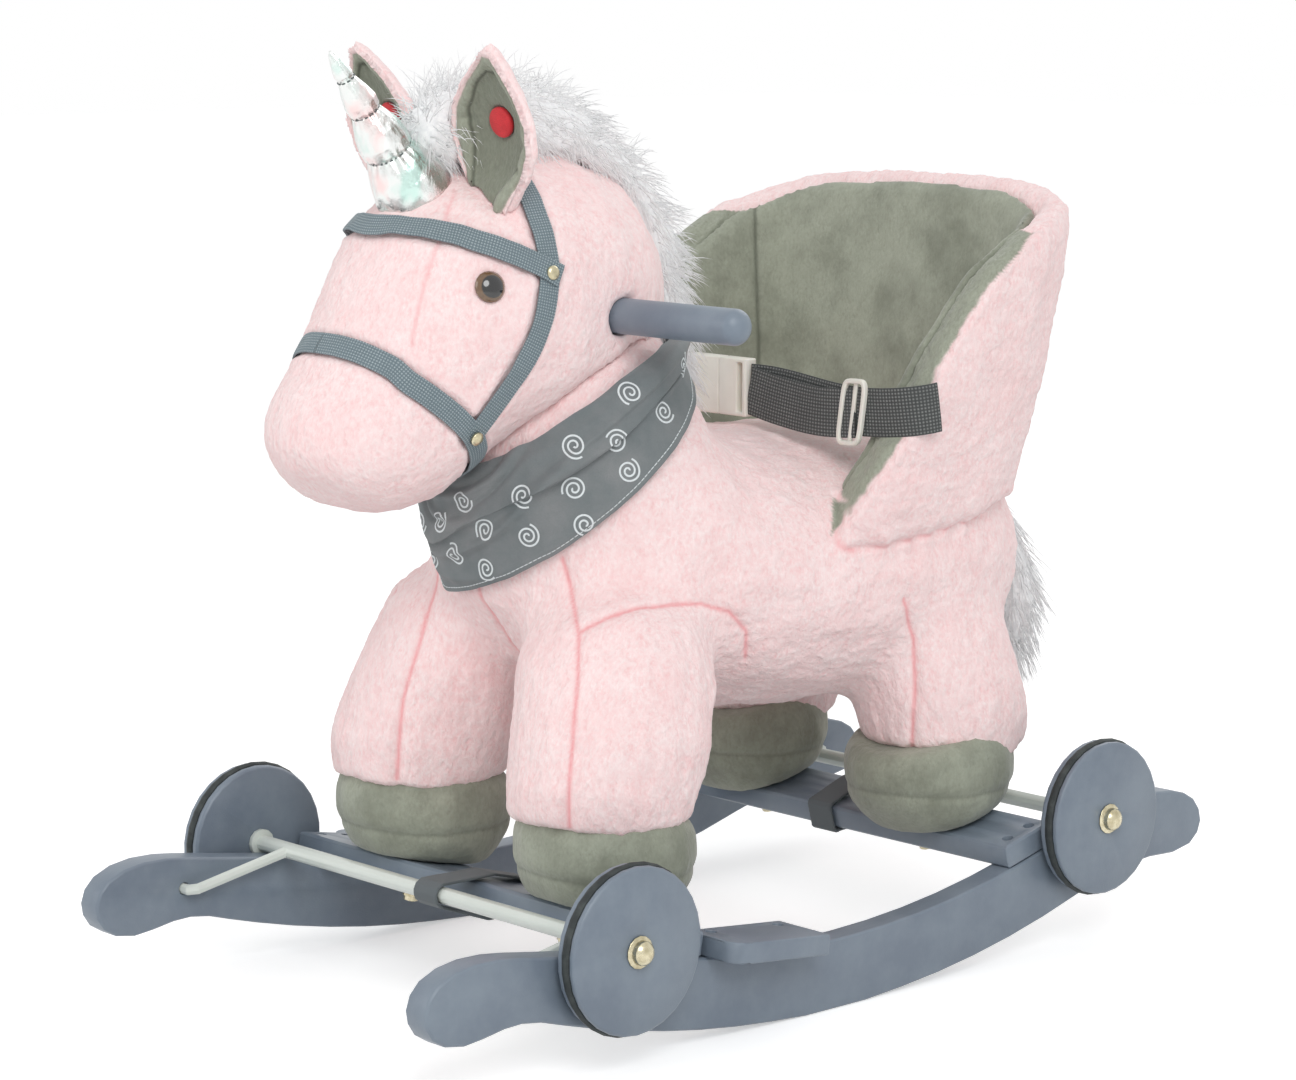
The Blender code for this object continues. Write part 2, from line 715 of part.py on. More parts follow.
legs = {}
hooves = {}
for place, rows, y in (("front", FRONT_LEG, FRONT_LEG_Y), ("rear", REAR_LEG, REAR_LEG_Y)):
    for side, hand in ((1, "left"), (-1, "right")):
        name = f"{place}_{hand}"
        hooves[name] = hoof(name + "_hoof", side, y)
        legs[name] = leg(name + "_leg", rows, side, y)
        cut_by(legs[name], body, hooves[name])

# Wooden frame inside: four posts on the boards, a seat board on them and a post up the neck
def post_corners(side, foot_y, top_y, grow, foot_up, top_z, longer=0.0):
    """Foot and top rings of a leaning post. The foot lies on its board and the top is level."""
    half = POST_SIDE / 2 + grow
    foot = []
    top = []
    for dx, dy in ((-half, -half), (half, -half), (half, half), (-half, half)):
        cy, cz = on_rockers(foot_y, dy, foot_up)
        foot.append(Vector((side * POST_FOOT_X + dx, cy, cz)))
        top.append(Vector((side * POST_TOP_X + dx, top_y + dy, top_z)))
    runs = [t - f for t, f in zip(top, foot)]
    return [[f - r * longer for f, r in zip(foot, runs)], [t + r * longer for t, r in zip(top, runs)]]


seat_top = SEAT_BOARD_Z + SEAT_BOARD_THICK
half = POST_SIDE / 2
margin = half + SEAT_BOARD_MARGIN
seat_low = (-POST_TOP_X - margin, FRONT_POST_TOP_Y - margin, SEAT_BOARD_Z)
seat_high = (POST_TOP_X + margin, REAR_POST_TOP_Y + margin, seat_top)
grow = POST_FIT
seat_hollow = box("seat_hollow", [v - grow for v in seat_low], [v + grow for v in seat_high], None, True)
box("seat_board", seat_low, seat_high, PLY)
neck_low = (-NECK_POST_X, NECK_POST_Y[0], seat_top + TOUCH)
neck_high = (NECK_POST_X, NECK_POST_Y[1], NECK_POST_TOP)
neck_post = box("neck_post", neck_low, neck_high, PLY)
neck_hollow = box(
    "neck_hollow", (neck_low[0] - grow, neck_low[1] - grow, neck_low[2] - 0.003),
    [v + grow for v in neck_high], None, True,
)
post_hollows = []
for place, y, top_y in (("front", FRONT_BOARD_Y, FRONT_POST_TOP_Y), ("rear", REAR_BOARD_Y, REAR_POST_TOP_Y)):
    for side, hand in ((1, "left"), (-1, "right")):
        name = f"{place}_{hand}"
        rings = post_corners(side, y, top_y, 0.0, BOARD_THICK + TOUCH, SEAT_BOARD_Z - TOUCH)
        points, faces = loft(rings)
        post = solid(name + "_leg_post", points, faces, PLY)
        rings = post_corners(side, y, top_y, POST_FIT, BOARD_THICK + TOUCH, SEAT_BOARD_Z - TOUCH, 0.03)
        points, faces = loft(rings)
        hollow = solid(name + "_post_hollow", points, faces, None, True)
        boolean(hooves[name], hollow)
        boolean(legs[name], hollow)
        boolean(legs[name], seat_hollow)
        post_hollows.append(hollow)
        x = side * POST_FOOT_X
        bolt = upright(name + "_leg_bolt", x, y, -0.0118, 0.034, BOLT_R, 12, BRASS, False)
        boolean(bolt, upright(name + "_nut", x, y, -0.0086, -TOUCH, NUT_R, 6), "UNION")
        boolean(bolt, upright(name + "_nut_dome", x, y, -0.0112, -0.008, NUT_R * 0.78), "UNION")
        hole = upright(name + "_bolt_hole", x, y, -0.010, 0.0346, BOLT_R + 0.0004)
        boolean(boards[place], hole)
        boolean(post, hole)

handle_end = [
    (HANDLE_HALF - 0.005, HANDLE_R), (HANDLE_HALF - 0.0015, HANDLE_R * 0.78), (HANDLE_HALF, HANDLE_R * 0.45), (HANDLE_HALF, 0.0),
]
handle = lathe_x("handle", [(-x, r) for x, r in reversed(handle_end)] + handle_end, (HANDLE_Y, HANDLE_Z), PAINT, 20)
bore_end = (0.12, HANDLE_Y, HANDLE_Z)
handle_bore = cylinder("handle_bore", (-bore_end[0], *bore_end[1:]), bore_end, HANDLE_R + HANDLE_FIT, 20)
boolean(neck_post, handle_bore)

# Horn: a tapered cone gathered by three seams. Rows are distance along it and radius, in mm
HORN_BASE = Vector((0, -0.189, 0.474))
HORN_TIP = Vector((0, -0.2535, 0.5615))
HORN = [
    (0, 23), (9, 23.2), (21, 21), (31, 17.2), (38, 13.6), (44, 15.2), (54, 13.4), (61, 11), (66, 8.6),
    (71, 9.8), (79, 8.2), (86, 6.4), (90, 5.3), (94, 5.6), (102, 3.4), (108, 1),
]
along = (HORN_TIP - HORN_BASE).normalized()
forward = along.cross(Vector((1, 0, 0))).normalized()
rings = [ring(HORN_BASE + along * (d * MM), (r * MM, 0, 0), forward * (r * MM), 14) for d, r in HORN]
points, faces = loft(rings)
horn = solid("horn", points, faces, FOIL)
cut_by(horn, head)

# Ears: a leaf with a hollow front. Rows are height, half width, depth behind and hollow in front, in mm
EAR = [
    (0, 13, 10, -8), (12, 20, 12, -5), (24, 28, 13, 3), (40, 33.5, 13.5, 7.5), (56, 32, 12, 7), (72, 24, 9, 4.5),
    (85, 13.5, 6, 1.5), (93, 6, 3.5, -0.5),
]
EAR_BASE = Vector((0.040, -0.166, 0.472))
EAR_TIP = Vector((0.061, -0.188, 0.567))
EAR_THICK = 4.5
DISC_R = 0.009
DISC_AT = 50
DISC_SINK = 0.0076
DISC_THICK = 0.0022
DISC_TRAVEL = 0.0012
ears = {}
for side, hand in ((1, "left"), (-1, "right")):
    base = Vector((EAR_BASE.x * side, EAR_BASE.y, EAR_BASE.z))
    tip = Vector((EAR_TIP.x * side, EAR_TIP.y, EAR_TIP.z))
    up = (tip - base).normalized()
    face = Vector((0.10 * side, -1.0, 0.0))
    face = (face - up * face.dot(up)).normalized()
    across = up.cross(face).normalized() * side
    if across.x * side < 0:
        across = -across
    rings = []
    for h, w, back, hollow in EAR:
        centre = base + up * (h * MM)
        made = []
        for k in range(7):
            t = -1 + 2 * k / 6
            depth = back * math.sqrt(max(0.0, 1 - t * t)) + EAR_THICK * 0.35
            made.append(centre + across * (w * MM * t) - face * (depth * MM))
        for k in range(7):
            t = 1 - 2 * k / 6
            lip = EAR_THICK * 0.65
            inside = lip - (hollow + lip) * (1 - t * t) if hollow > 0 else lip - hollow * math.sqrt(1 - t * t)
            made.append(centre + across * (w * MM * t * 0.985) + face * (inside * MM))
        rings.append(made)
    points, faces = loft(rings, None, tip)
    ear = solid(hand + "_ear", points, faces, PINK)
    cut_by(ear, head, gap=0.0004)
    centre = base + up * (DISC_AT * MM) - face * (DISC_SINK - DISC_THICK)
    axis = face
    turn = axis.to_track_quat("Z", "Y").to_matrix().to_4x4()
    frame = Matrix.Translation(centre) @ turn
    rings = []
    for z, r in ((-DISC_THICK, DISC_R), (0.0, DISC_R), (0.0006, DISC_R - 0.0012)):
        rings.append([frame @ p for p in ring((0, 0, z), (r, 0, 0), (0, r, 0), 20)])
    points, faces = loft(rings)
    disc = solid(hand + "_ear_button", points, faces, RED)
    carry(axis_at(hand + "_button_axis", centre), disc)
    rings = []
    for z in (-DISC_THICK - DISC_TRAVEL - 0.0004, 0.012):
        r = DISC_R + 0.0004
        rings.append([frame @ p for p in ring((0, 0, z), (r, 0, 0), (0, r, 0), 20)])
    points, faces = loft(rings)
    boolean(ear, solid(hand + "_button_pocket", points, faces, None, True))
    ears[hand] = ear

# Eyes: domes half sunk in the plush
for side, hand in ((1, "left"), (-1, "right")):
    centre, axis, _, _ = skin.find_nearest(Vector((0.0580 * side, -0.1895, 0.4290)))
    frame = Matrix.Translation(centre) @ axis.to_track_quat("Z", "Y").to_matrix().to_4x4()
    rings = []
    for z, r in ((-0.006, 0.0085), (-0.001, 0.0095), (0.0014, 0.0090), (0.0036, 0.0068), (0.0048, 0.0036)):
        rings.append([frame @ p for p in ring((0, 0, z), (r, 0, 0), (0, r, 0), 20)])
    points, faces = loft(rings, None, frame @ Vector((0, 0, 0.0052)))
    eye = solid(hand + "_eye", points, faces, EYE)
    cut_by(eye, head, gap=0.0004)

# Mane and tail of long white pile
MANE = [
    (-193, 521, -176, 492, 15), (-176, 538, -160, 494, 21), (-138, 543, -134, 496, 24), (-100, 534, -98, 494, 25),
    (-66, 516, -70, 478, 25), (-34, 490, -44, 452, 24), (-11, 459, -36, 430, 23), (1, 424, -34, 404, 22),
    (8, 388, -28, 380, 20), (13, 358, -16, 358, 14),
]
mane = form("mane", MANE, ((-197, 504), (12, 346)), SHAG, 14, 1, 2.3)
cut_by(mane, head, body, ears["left"], ears["right"], horn, gap=0.0005)
TAIL = [
    (244, 278, 10, 8), (262, 271, 17, 12), (283, 250, 24, 15), (297, 218, 29, 16), (303, 188, 31, 17),
    (303, 165, 25, 14), (300, 150, 12, 8),
]
rings = []
for k, (y, z, a, c) in enumerate(TAIL):
    before = Vector((0, *TAIL[max(0, k - 1)][:2]))
    after = Vector((0, *TAIL[min(len(TAIL) - 1, k + 1)][:2]))
    ahead = (after - before).normalized()
    out = Vector((1, 0, 0)).cross(ahead)
    rings.append(ring((0, y * MM, z * MM), (a * MM, 0, 0), out * (c * MM), 14))
points, faces = loft(rings)
tail = solid("tail", points, faces, SHAG)
cut_by(tail, body)

# Bucket seat: rows from the back's middle to the left wing's tip, each the outer foot and the outer rim, in mm
SEAT = [
    (0, 224, 284, 0, 249, 478), (46, 223, 284, 52, 248, 477), (86, 214, 283, 98, 243, 474),
    (112, 193, 280, 134, 225, 466), (119, 157, 272, 151, 185, 455), (120, 117, 267, 152, 140, 433),
    (119, 81, 264, 145, 102, 388), (115, 57, 262, 131, 71, 334), (108, 39, 260, 114, 47, 291),
]
SHELL_THICK = 0.023
LINING_THICK = 0.0085


def wall(section):
    """The seat wall's skin: section points are (distance out from the outside, share of the height, drop), in metres."""
    rows = [(-x, y, z, -u, v, h) for x, y, z, u, v, h in reversed(SEAT[1:])] + SEAT
    stations = [[v * MM for v in row] for row in rows]
    rings = []
    for k, (x, y, low, u, v, top) in enumerate(stations):
        before = stations[max(0, k - 1)]
        after = stations[min(len(stations) - 1, k + 1)]
        out = Vector((before[1] - after[1], after[0] - before[0], 0)).normalized()
        rings.append([])
        for depth, share, drop in section:
            t = share * (1 - drop / (top - low))
            rings[-1].append(Vector((x, y, low)).lerp(Vector((u, v, top)), t) + out * depth)
    return loft(rings)


SHELL = [
    (0.000, 0.0, 0.0), (0.003, 0.35, 0.0), (0.002, 0.75, 0.0), (0.0, 1.0, 0.013), (-0.0045, 1.0, 0.003),
    (-SHELL_THICK / 2, 1.0, 0.0), (-SHELL_THICK + 0.004, 1.0, 0.003), (-SHELL_THICK, 1.0, 0.011),
    (-SHELL_THICK, 0.5, 0.0), (-SHELL_THICK, 0.0, 0.0),
]
gap_in = -SHELL_THICK - 2 * TOUCH
LINING = [
    (gap_in, 0.0, 0.0), (gap_in, 0.5, 0.0), (gap_in, 1.0, 0.011), (gap_in - 0.0035, 1.0, 0.0055),
    (gap_in - LINING_THICK, 1.0, 0.013), (gap_in - LINING_THICK - 0.002, 0.5, 0.0), (gap_in - LINING_THICK, 0.0, 0.0),
]
points, faces = wall(SHELL)
shell = solid("seat_shell", points, faces, PINK)
points, faces = wall(LINING)
lining = solid("seat_lining", points, faces, SAGE)
cut_by(shell, body)
cut_by(lining, body)

# Neck scarf: a folded square that lies round the neck with its point down the chest
SCARF_EDGES = [
    (90, 7.45, 8.15), (120, 7.95, 8.85), (150, 8.60, 9.60), (180, 9.05, 10.05), (210, 9.25, 10.15), (232, 9.20, 10.05),
    (242, 8.90, 10.0), (252, 8.05, 9.90), (262, 8.15, 9.85), (282, 8.33, 9.95), (302, 8.42, 10.05), (330, 8.45, 10.15),
    (360, 8.35, 10.05), (390, 8.15, 9.60), (420, 7.90, 8.85), (450, 7.45, 8.15),
]
SCARF_POINT = 252
SCARF_STATIONS = (0.0, 0.25, 0.48, 0.66, 0.84, 1.0)
SCARF_LIFT = 0.0026
SCARF_THICK = 0.0022
SCARF_ROLL = 0.0045
SCARF_FOLD = 0.0030


def body_point(place, angle):
    """A point of the body's true skin and its outward direction."""
    ty, tz, by, bz, a = (v * MM for v in between(BODY, place))
    centre = Vector((0, (ty + by) / 2, (tz + bz) / 2))
    up = Vector((0, (ty - by) / 2, (tz - bz) / 2))
    c = math.cos(angle)
    s = math.sin(angle)
    c2 = math.copysign(abs(c) ** (2 / 2.15), c)
    s2 = math.copysign(abs(s) ** (2 / 2.15), s)
    here = centre + Vector((a, 0, 0)) * c2 + up * s2
    out = (here - centre).normalized()
    return here, out


def edges_at(degrees):
    """The scarf's lower and upper edges at an angle round the neck."""
    for a, b in zip(SCARF_EDGES[:-1], SCARF_EDGES[1:]):
        if degrees <= b[0]:
            t = (degrees - a[0]) / (b[0] - a[0])
            return a[1] + (b[1] - a[1]) * t, a[2] + (b[2] - a[2]) * t


rings = []
AROUND = 36
for k in range(AROUND):
    degrees = 90 + (SCARF_POINT - 90 + 360 * k / AROUND) % 360
    angle = math.radians(degrees)
    low, high = edges_at(degrees)
    inside = []
    outside = []
    for t in SCARF_STATIONS:
        here, out = body_point(low + (high - low) * t, angle)
        roll = SCARF_ROLL * math.exp(-((t - 0.84) / 0.14) ** 2)
        slant = 0.30 + 0.26 * math.cos(math.radians(degrees - 250) * 1.4)
        fold = SCARF_FOLD * math.exp(-((t - slant) / 0.11) ** 2)
        inside.append(here + out * SCARF_LIFT)
        outside.append(here + out * (SCARF_LIFT + SCARF_THICK + roll + fold))
    rings.append(inside + list(reversed(outside)))
points, faces = hoop(rings)
scarf = solid("scarf", points, faces, CLOTH)
cut_by(scarf, head, gap=0.0004)
cut_by(scarf, mane, gap=0.0005)

# Bridle: webbing bands laid on the head
BRIDLE_W = 0.013
BRIDLE_T = 0.0018


def band(name, path, lift, closed, cutter):
    """A webbing band laid along a path on the head."""
    count = len(path)
    rings = []
    for k, p in enumerate(path):
        a = path[k - 1] if k or closed else p
        b = path[(k + 1) % count] if k + 1 < count or closed else p
        here, normal, _, _ = skin.find_nearest(p)
        ahead = (b - a).normalized()
        side = ahead.cross(normal).normalized() * (BRIDLE_W / 2)
        ring_points = []
        for sign, up in ((-1, lift), (1, lift), (1, lift + BRIDLE_T), (-1, lift + BRIDLE_T)):
            foot, n, _, _ = skin.find_nearest(here + side * sign)
            ring_points.append(foot + n * up)
        rings.append(ring_points)
    points, faces = hoop(rings) if closed else loft(rings)
    return solid(name, points, faces, WEB, cutter)


def along_path(points, count):
    rows = [tuple(p) for p in points]
    return [Vector(between(rows, (len(rows) - 1) * k / (count - 1))) for k in range(count)]


NOSE = [
    (0.0, -0.258, 0.396), (0.024, -0.250, 0.391), (0.045, -0.221, 0.369), (0.047, -0.195, 0.347),
    (0.030, -0.177, 0.326), (0.0, -0.170, 0.316),
]
nose_half = along_path(NOSE, 13)
nose_path = nose_half + [Vector((-p.x, p.y, p.z)) for p in reversed(nose_half[1:-1])]
CHEEK = [
    (0.0, -0.147, 0.503), (0.030, -0.149, 0.496), (0.055, -0.152, 0.478), (0.070, -0.153, 0.4365),
    (0.070, -0.163, 0.400), (0.060, -0.179, 0.372), (0.047, -0.196, 0.347),
]
cheek = [(-x, y, z) for x, y, z in reversed(CHEEK[1:])] + CHEEK
BROW = [(0.0, -0.225, 0.463), (0.025, -0.217, 0.462), (0.048, -0.190, 0.452), (0.068, -0.155, 0.438)]
brow = [(-x, y, z) for x, y, z in reversed(BROW[1:])] + BROW
bridle = band("bridle", nose_path, 0.0019, True, False)
headstall = band("headstall", along_path(cheek, 29), 0.0020, False, True)
boolean(bridle, headstall, "UNION")
boolean(bridle, band("browband", along_path(brow, 15), 0.0021, False, True), "UNION")
cut_by(bridle, ears["left"], ears["right"], gap=0.0003)
cut_by(mane, headstall, gap=0.0005)

# Lap belt: webbing from each wing to a side-release buckle
BELT_W = 0.030
BELT_T = 0.0018
BELT_Z = 0.3505
BUCKLE_Y = 0.060
BUCKLE_W = 0.036
BUCKLE_T = 0.010
PLUG_X = (-0.010, 0.014)
SOCKET_X = (-0.040, -0.0103)
PRONG_REACH = 0.016
PRONG_W = 0.005
LEFT_BELT = [(0.0148, 0.0600), (0.035, 0.0625), (0.060, 0.0640), (0.085, 0.0665), (0.108, 0.0700), (0.124, 0.0745), (0.1315, 0.0785)]
RIGHT_BELT = [(-0.0408, 0.0600), (-0.060, 0.0625), (-0.085, 0.0660), (-0.108, 0.0700), (-0.124, 0.0745), (-0.1315, 0.0785)]


def belt(name, path):
    count = 2 * len(path) - 1
    middle = [between(path, (len(path) - 1) * k / (count - 1)) for k in range(count)]
    rings = []
    for k, (x, y) in enumerate(middle):
        a = middle[max(0, k - 1)]
        b = middle[min(count - 1, k + 1)]
        out = Vector((-(b[1] - a[1]), b[0] - a[0], 0)).normalized() * (BELT_T / 2)
        here = Vector((x, y, BELT_Z))
        low = Vector((0, 0, -BELT_W / 2))
        rings.append([here - out + low, here + out + low, here + out - low, here - out - low])
    points, faces = loft(rings)
    made = solid(name, points, faces, BELT)
    cut_by(made, shell, lining, gap=0.0003)
    return made


belt("left_belt", LEFT_BELT)
belt("right_belt", RIGHT_BELT)
half_w = BUCKLE_W / 2
half_t = BUCKLE_T / 2
plug = box("buckle_plug", (PLUG_X[0], BUCKLE_Y - half_t, BELT_Z - half_w), (PLUG_X[1], BUCKLE_Y + half_t, BELT_Z + half_w), PLASTIC)
socket = box(
    "buckle_socket", (SOCKET_X[0], BUCKLE_Y - half_t, BELT_Z - half_w),
    (SOCKET_X[1], BUCKLE_Y + half_t, BELT_Z + half_w), PLASTIC,
)
carry(axis_at("buckle_axis", (PLUG_X[0], BUCKLE_Y, BELT_Z)), plug)
for sign in (1, -1):
    z0 = BELT_Z + sign * (half_w - 0.011)
    low = (PLUG_X[0] - PRONG_REACH, BUCKLE_Y - 0.0022, z0 - PRONG_W / 2)
    high = (PLUG_X[0] + 0.004, BUCKLE_Y + 0.0022, z0 + PRONG_W / 2)
    boolean(plug, box(f"prong_{sign}", low, high, None, True), "UNION")
cavity = box(
    "socket_cavity", (SOCKET_X[1] - PRONG_REACH - 0.002, BUCKLE_Y - 0.0027, BELT_Z - half_w + 0.0025),
    (SOCKET_X[1] + 0.002, BUCKLE_Y + 0.0027, BELT_Z + half_w - 0.0025), None, True,
)
boolean(socket, cavity)
for name, x, made in (("plug_bar_slot", 0.008, plug), ("socket_bar_slot", -0.0355, socket)):
    low = (x - 0.0025, BUCKLE_Y - half_t - 0.002, BELT_Z - BELT_W / 2 - 0.0005)
    high = (x + 0.0025, BUCKLE_Y + half_t + 0.002, BELT_Z + BELT_W / 2 + 0.0005)
    boolean(made, box(name, low, high, None, True))
soft_edges(plug, 0.0008)
soft_edges(socket, 0.0008)

# Pockets in the plush for the wooden frame and the handle
for hollow in [seat_hollow, neck_hollow] + post_hollows:
    boolean(body, hollow)
boolean(head, neck_hollow)
boolean(head, handle_bore)
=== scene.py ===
"""Looks, camera and light of a ride-on plush unicorn on wooden rockers with fold-down wheels.

Metres, +Z up. It faces -Y and its left side is +X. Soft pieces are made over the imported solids.
"""
import json
import math

import bmesh
import bpy
import numpy as np
from mathutils import Matrix, Vector, noise
from mathutils.bvhtree import BVHTree
from mathutils.kdtree import KDTree

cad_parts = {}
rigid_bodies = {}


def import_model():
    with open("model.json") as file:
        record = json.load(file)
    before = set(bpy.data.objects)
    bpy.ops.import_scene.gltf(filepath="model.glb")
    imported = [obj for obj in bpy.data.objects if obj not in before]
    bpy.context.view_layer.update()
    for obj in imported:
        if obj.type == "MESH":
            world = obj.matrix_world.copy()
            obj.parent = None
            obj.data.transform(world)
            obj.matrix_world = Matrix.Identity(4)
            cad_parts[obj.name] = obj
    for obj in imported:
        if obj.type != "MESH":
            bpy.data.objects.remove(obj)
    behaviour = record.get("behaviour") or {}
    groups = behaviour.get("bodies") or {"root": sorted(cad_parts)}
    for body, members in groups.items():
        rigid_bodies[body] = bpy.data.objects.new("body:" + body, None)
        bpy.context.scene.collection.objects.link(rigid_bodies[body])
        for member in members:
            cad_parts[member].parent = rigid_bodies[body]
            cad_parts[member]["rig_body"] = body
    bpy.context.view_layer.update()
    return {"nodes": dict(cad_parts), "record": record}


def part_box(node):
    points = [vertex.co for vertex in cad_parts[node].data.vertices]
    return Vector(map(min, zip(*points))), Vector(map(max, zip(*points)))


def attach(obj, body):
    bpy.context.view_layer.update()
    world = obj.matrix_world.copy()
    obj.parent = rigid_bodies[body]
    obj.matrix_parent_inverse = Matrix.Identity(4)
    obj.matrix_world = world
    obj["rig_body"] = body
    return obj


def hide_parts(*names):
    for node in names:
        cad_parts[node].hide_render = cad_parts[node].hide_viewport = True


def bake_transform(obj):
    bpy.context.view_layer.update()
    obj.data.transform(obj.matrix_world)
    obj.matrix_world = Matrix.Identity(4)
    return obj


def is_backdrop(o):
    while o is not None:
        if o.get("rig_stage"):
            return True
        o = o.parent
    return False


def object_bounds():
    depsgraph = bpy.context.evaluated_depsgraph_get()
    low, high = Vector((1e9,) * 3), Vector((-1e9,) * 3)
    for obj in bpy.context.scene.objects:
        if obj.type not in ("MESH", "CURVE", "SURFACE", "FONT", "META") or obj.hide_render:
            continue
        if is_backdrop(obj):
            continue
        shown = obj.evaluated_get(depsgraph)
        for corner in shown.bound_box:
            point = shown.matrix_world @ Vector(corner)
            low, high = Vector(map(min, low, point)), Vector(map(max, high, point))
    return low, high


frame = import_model()
NODES = frame["nodes"]
SIDES = (("left", 1), ("right", -1))
ENDS = ("front", "rear")
MM = 0.001
UP = Vector((0, 0, 1))
ACROSS = Vector((1, 0, 0))
IN_PLAN = Vector((1, 1, 0))


# Node materials
def blank(name, rough=0.5, metallic=0.0, **constants):
    """A material, its node tree and its shader."""
    made = bpy.data.materials.new(name)
    made.use_nodes = True
    tree = made.node_tree
    shader = tree.nodes["Principled BSDF"]
    shader.inputs["Roughness"].default_value = rough
    shader.inputs["Metallic"].default_value = metallic
    for key, value in constants.items():
        shader.inputs[key.replace("_", " ")].default_value = value
    return made, tree, shader


def add(tree, kind, values=(), **settings):
    """A node with its settings, and its inputs set or linked from (input, value or socket) pairs."""
    node = tree.nodes.new(kind)
    for key, value in settings.items():
        setattr(node, key, value)
    for key, value in values:
        if isinstance(value, bpy.types.NodeSocket):
            tree.links.new(value, node.inputs[key])
        else:
            node.inputs[key].default_value = value
    return node


def srgb(red, green, blue):
    """A linear colour from 8 bit display values."""
    made = []
    for v in (red, green, blue):
        v /= 255
        made.append(v / 12.92 if v <= 0.04045 else ((v + 0.055) / 1.055) ** 2.4)
    return (*made, 1.0)


def place(tree, scale=(1, 1, 1)):
    """Object coordinates, stretched."""
    where = add(tree, "ShaderNodeTexCoord").outputs["Object"]
    return add(tree, "ShaderNodeMapping", [("Vector", where), ("Scale", scale)]).outputs[0]


def grain(tree, scale, detail=3.0, rough=0.6, stretch=(1, 1, 1)):
    """Noise in object coordinates."""
    pairs = [("Vector", place(tree, stretch)), ("Scale", scale), ("Detail", detail), ("Roughness", rough)]
    return add(tree, "ShaderNodeTexNoise", pairs).outputs[0]


def mix(share, first, second):
    """The first colour where the share is 0, and the second where it is 1."""
    tree = share.id_data
    node = add(tree, "ShaderNodeMix", data_type="RGBA")
    for socket, value in ((node.inputs[0], share), (node.inputs[6], first), (node.inputs[7], second)):
        if isinstance(value, bpy.types.NodeSocket):
            tree.links.new(value, socket)
        else:
            socket.default_value = value
    return node.outputs[2]


def spread(value, low, high, new_low=0.0, new_high=1.0):
    """A value moved from one range to another, and kept inside it."""
    pairs = [("Value", value), ("From Min", low), ("From Max", high)]
    pairs += [("To Min", new_low), ("To Max", new_high)]
    return add(value.id_data, "ShaderNodeMapRange", pairs).outputs[0]


def marked(tree, name):
    """A value that the piece's points carry."""
    return add(tree, "ShaderNodeAttribute", attribute_name=name).outputs["Fac"]


def set_from(shader, key, socket):
    shader.id_data.links.new(socket, shader.inputs[key])


def bump(shader, height, distance, strength=1.0, under=None):
    pairs = [("Height", height), ("Distance", distance), ("Strength", strength)]
    if under is not None:
        pairs.append(("Normal", under))
    made = add(shader.id_data, "ShaderNodeBump", pairs).outputs[0]
    set_from(shader, "Normal", made)
    return made


def tint(shader, socket):
    set_from(shader, "Base Color", socket)


def darker(colour, share):
    return (*(share * c for c in colour[:3]), 1.0)


def plush(name, pale, deep, seam_and_painted_shade, stretch, sheen=0.25, other=None, patch=(None, 34, 0.35), rough_pile=1.0):
    """Short directional pile: fine streaks, soft mottling, and a deeper colour in the seams, which on the ear
    cups is also painted shade in the fold and hollow.
    """
    made, tree, shader = blank(name, 0.92, Sheen_Weight=sheen, Sheen_Roughness=0.5, Specular_IOR_Level=0.15)
    fine = grain(tree, 620, 3.0, 0.65, stretch)
    tufts = grain(tree, 190, 3.0, 0.6, stretch)
    broad = grain(tree, patch[1], 4.0, 0.6)
    colour = mix(spread(fine, 0.30, 0.70), deep, pale)
    colour = mix(spread(tufts, 0.36, 0.60, 0.0, 0.45), colour, pale)
    colour = mix(spread(broad, 0.40, 0.70, 0.0, patch[2]), colour, patch[0] or deep)
    # The seam mark darkens the seams, and on the ear cups it is painted shade
    mark = marked(tree, "seam_and_painted_shade")
    colour = mix(mark, colour, seam_and_painted_shade)
    if other is not None:
        lined = mix(spread(fine, 0.30, 0.70), other[1], other[0])
        lined = mix(mark, lined, other[2])
        colour = mix(marked(tree, "lining"), colour, lined)
    tint(shader, colour)
    low = bump(shader, tufts, 0.0030, 0.55 * rough_pile)
    bump(shader, fine, 0.0012, 0.6 * rough_pile, low)
    return made


PALE_PINK = srgb(255, 238, 237)
DEEP_PINK = srgb(247, 206, 206)
SEAM_PINK = srgb(240, 152, 156)
PALE_SAGE = srgb(168, 173, 157)
DEEP_SAGE = srgb(148, 152, 137)
DARK_SAGE = srgb(118, 122, 108)
# This sage seam colour also paints shade into the fold and hollow of the ear cups
SEAM_AND_PAINTED_SHADE_SAGE = srgb(96, 100, 88)
PINK = plush("pink_plush_look", PALE_PINK, DEEP_PINK, SEAM_PINK, (1.0, 0.55, 0.45))
SAGE = plush(
    "sage_velour_look", PALE_SAGE, DEEP_SAGE, SEAM_AND_PAINTED_SHADE_SAGE, (1.0, 0.8, 0.6), 0.35,
    patch=(DARK_SAGE, 26, 0.75), rough_pile=0.45,
)
EAR = plush(
    "lined_ear_look", PALE_PINK, DEEP_PINK, SEAM_PINK, (1.0, 0.55, 0.45),
    other=(PALE_SAGE, DEEP_SAGE, SEAM_AND_PAINTED_SHADE_SAGE),
)


def mottled(name, rough, cloud, pair, fine, reach=None, over=None, **constants):
    """Two colours in soft clouds, a third in fine specks where one is given, and a fine bump."""
    made, tree, shader = blank(name, rough, **constants)
    clouds = grain(tree, *cloud)
    colour = mix(spread(clouds, *reach) if reach else clouds, *pair)
    size, deep, strength = fine
    specks = grain(tree, size, 2.0, 0.5)
    if over:
        colour = mix(spread(specks, *over[1:]), colour, over[0])
    bump(shader, specks, deep, strength)
    tint(shader, colour)
    return made


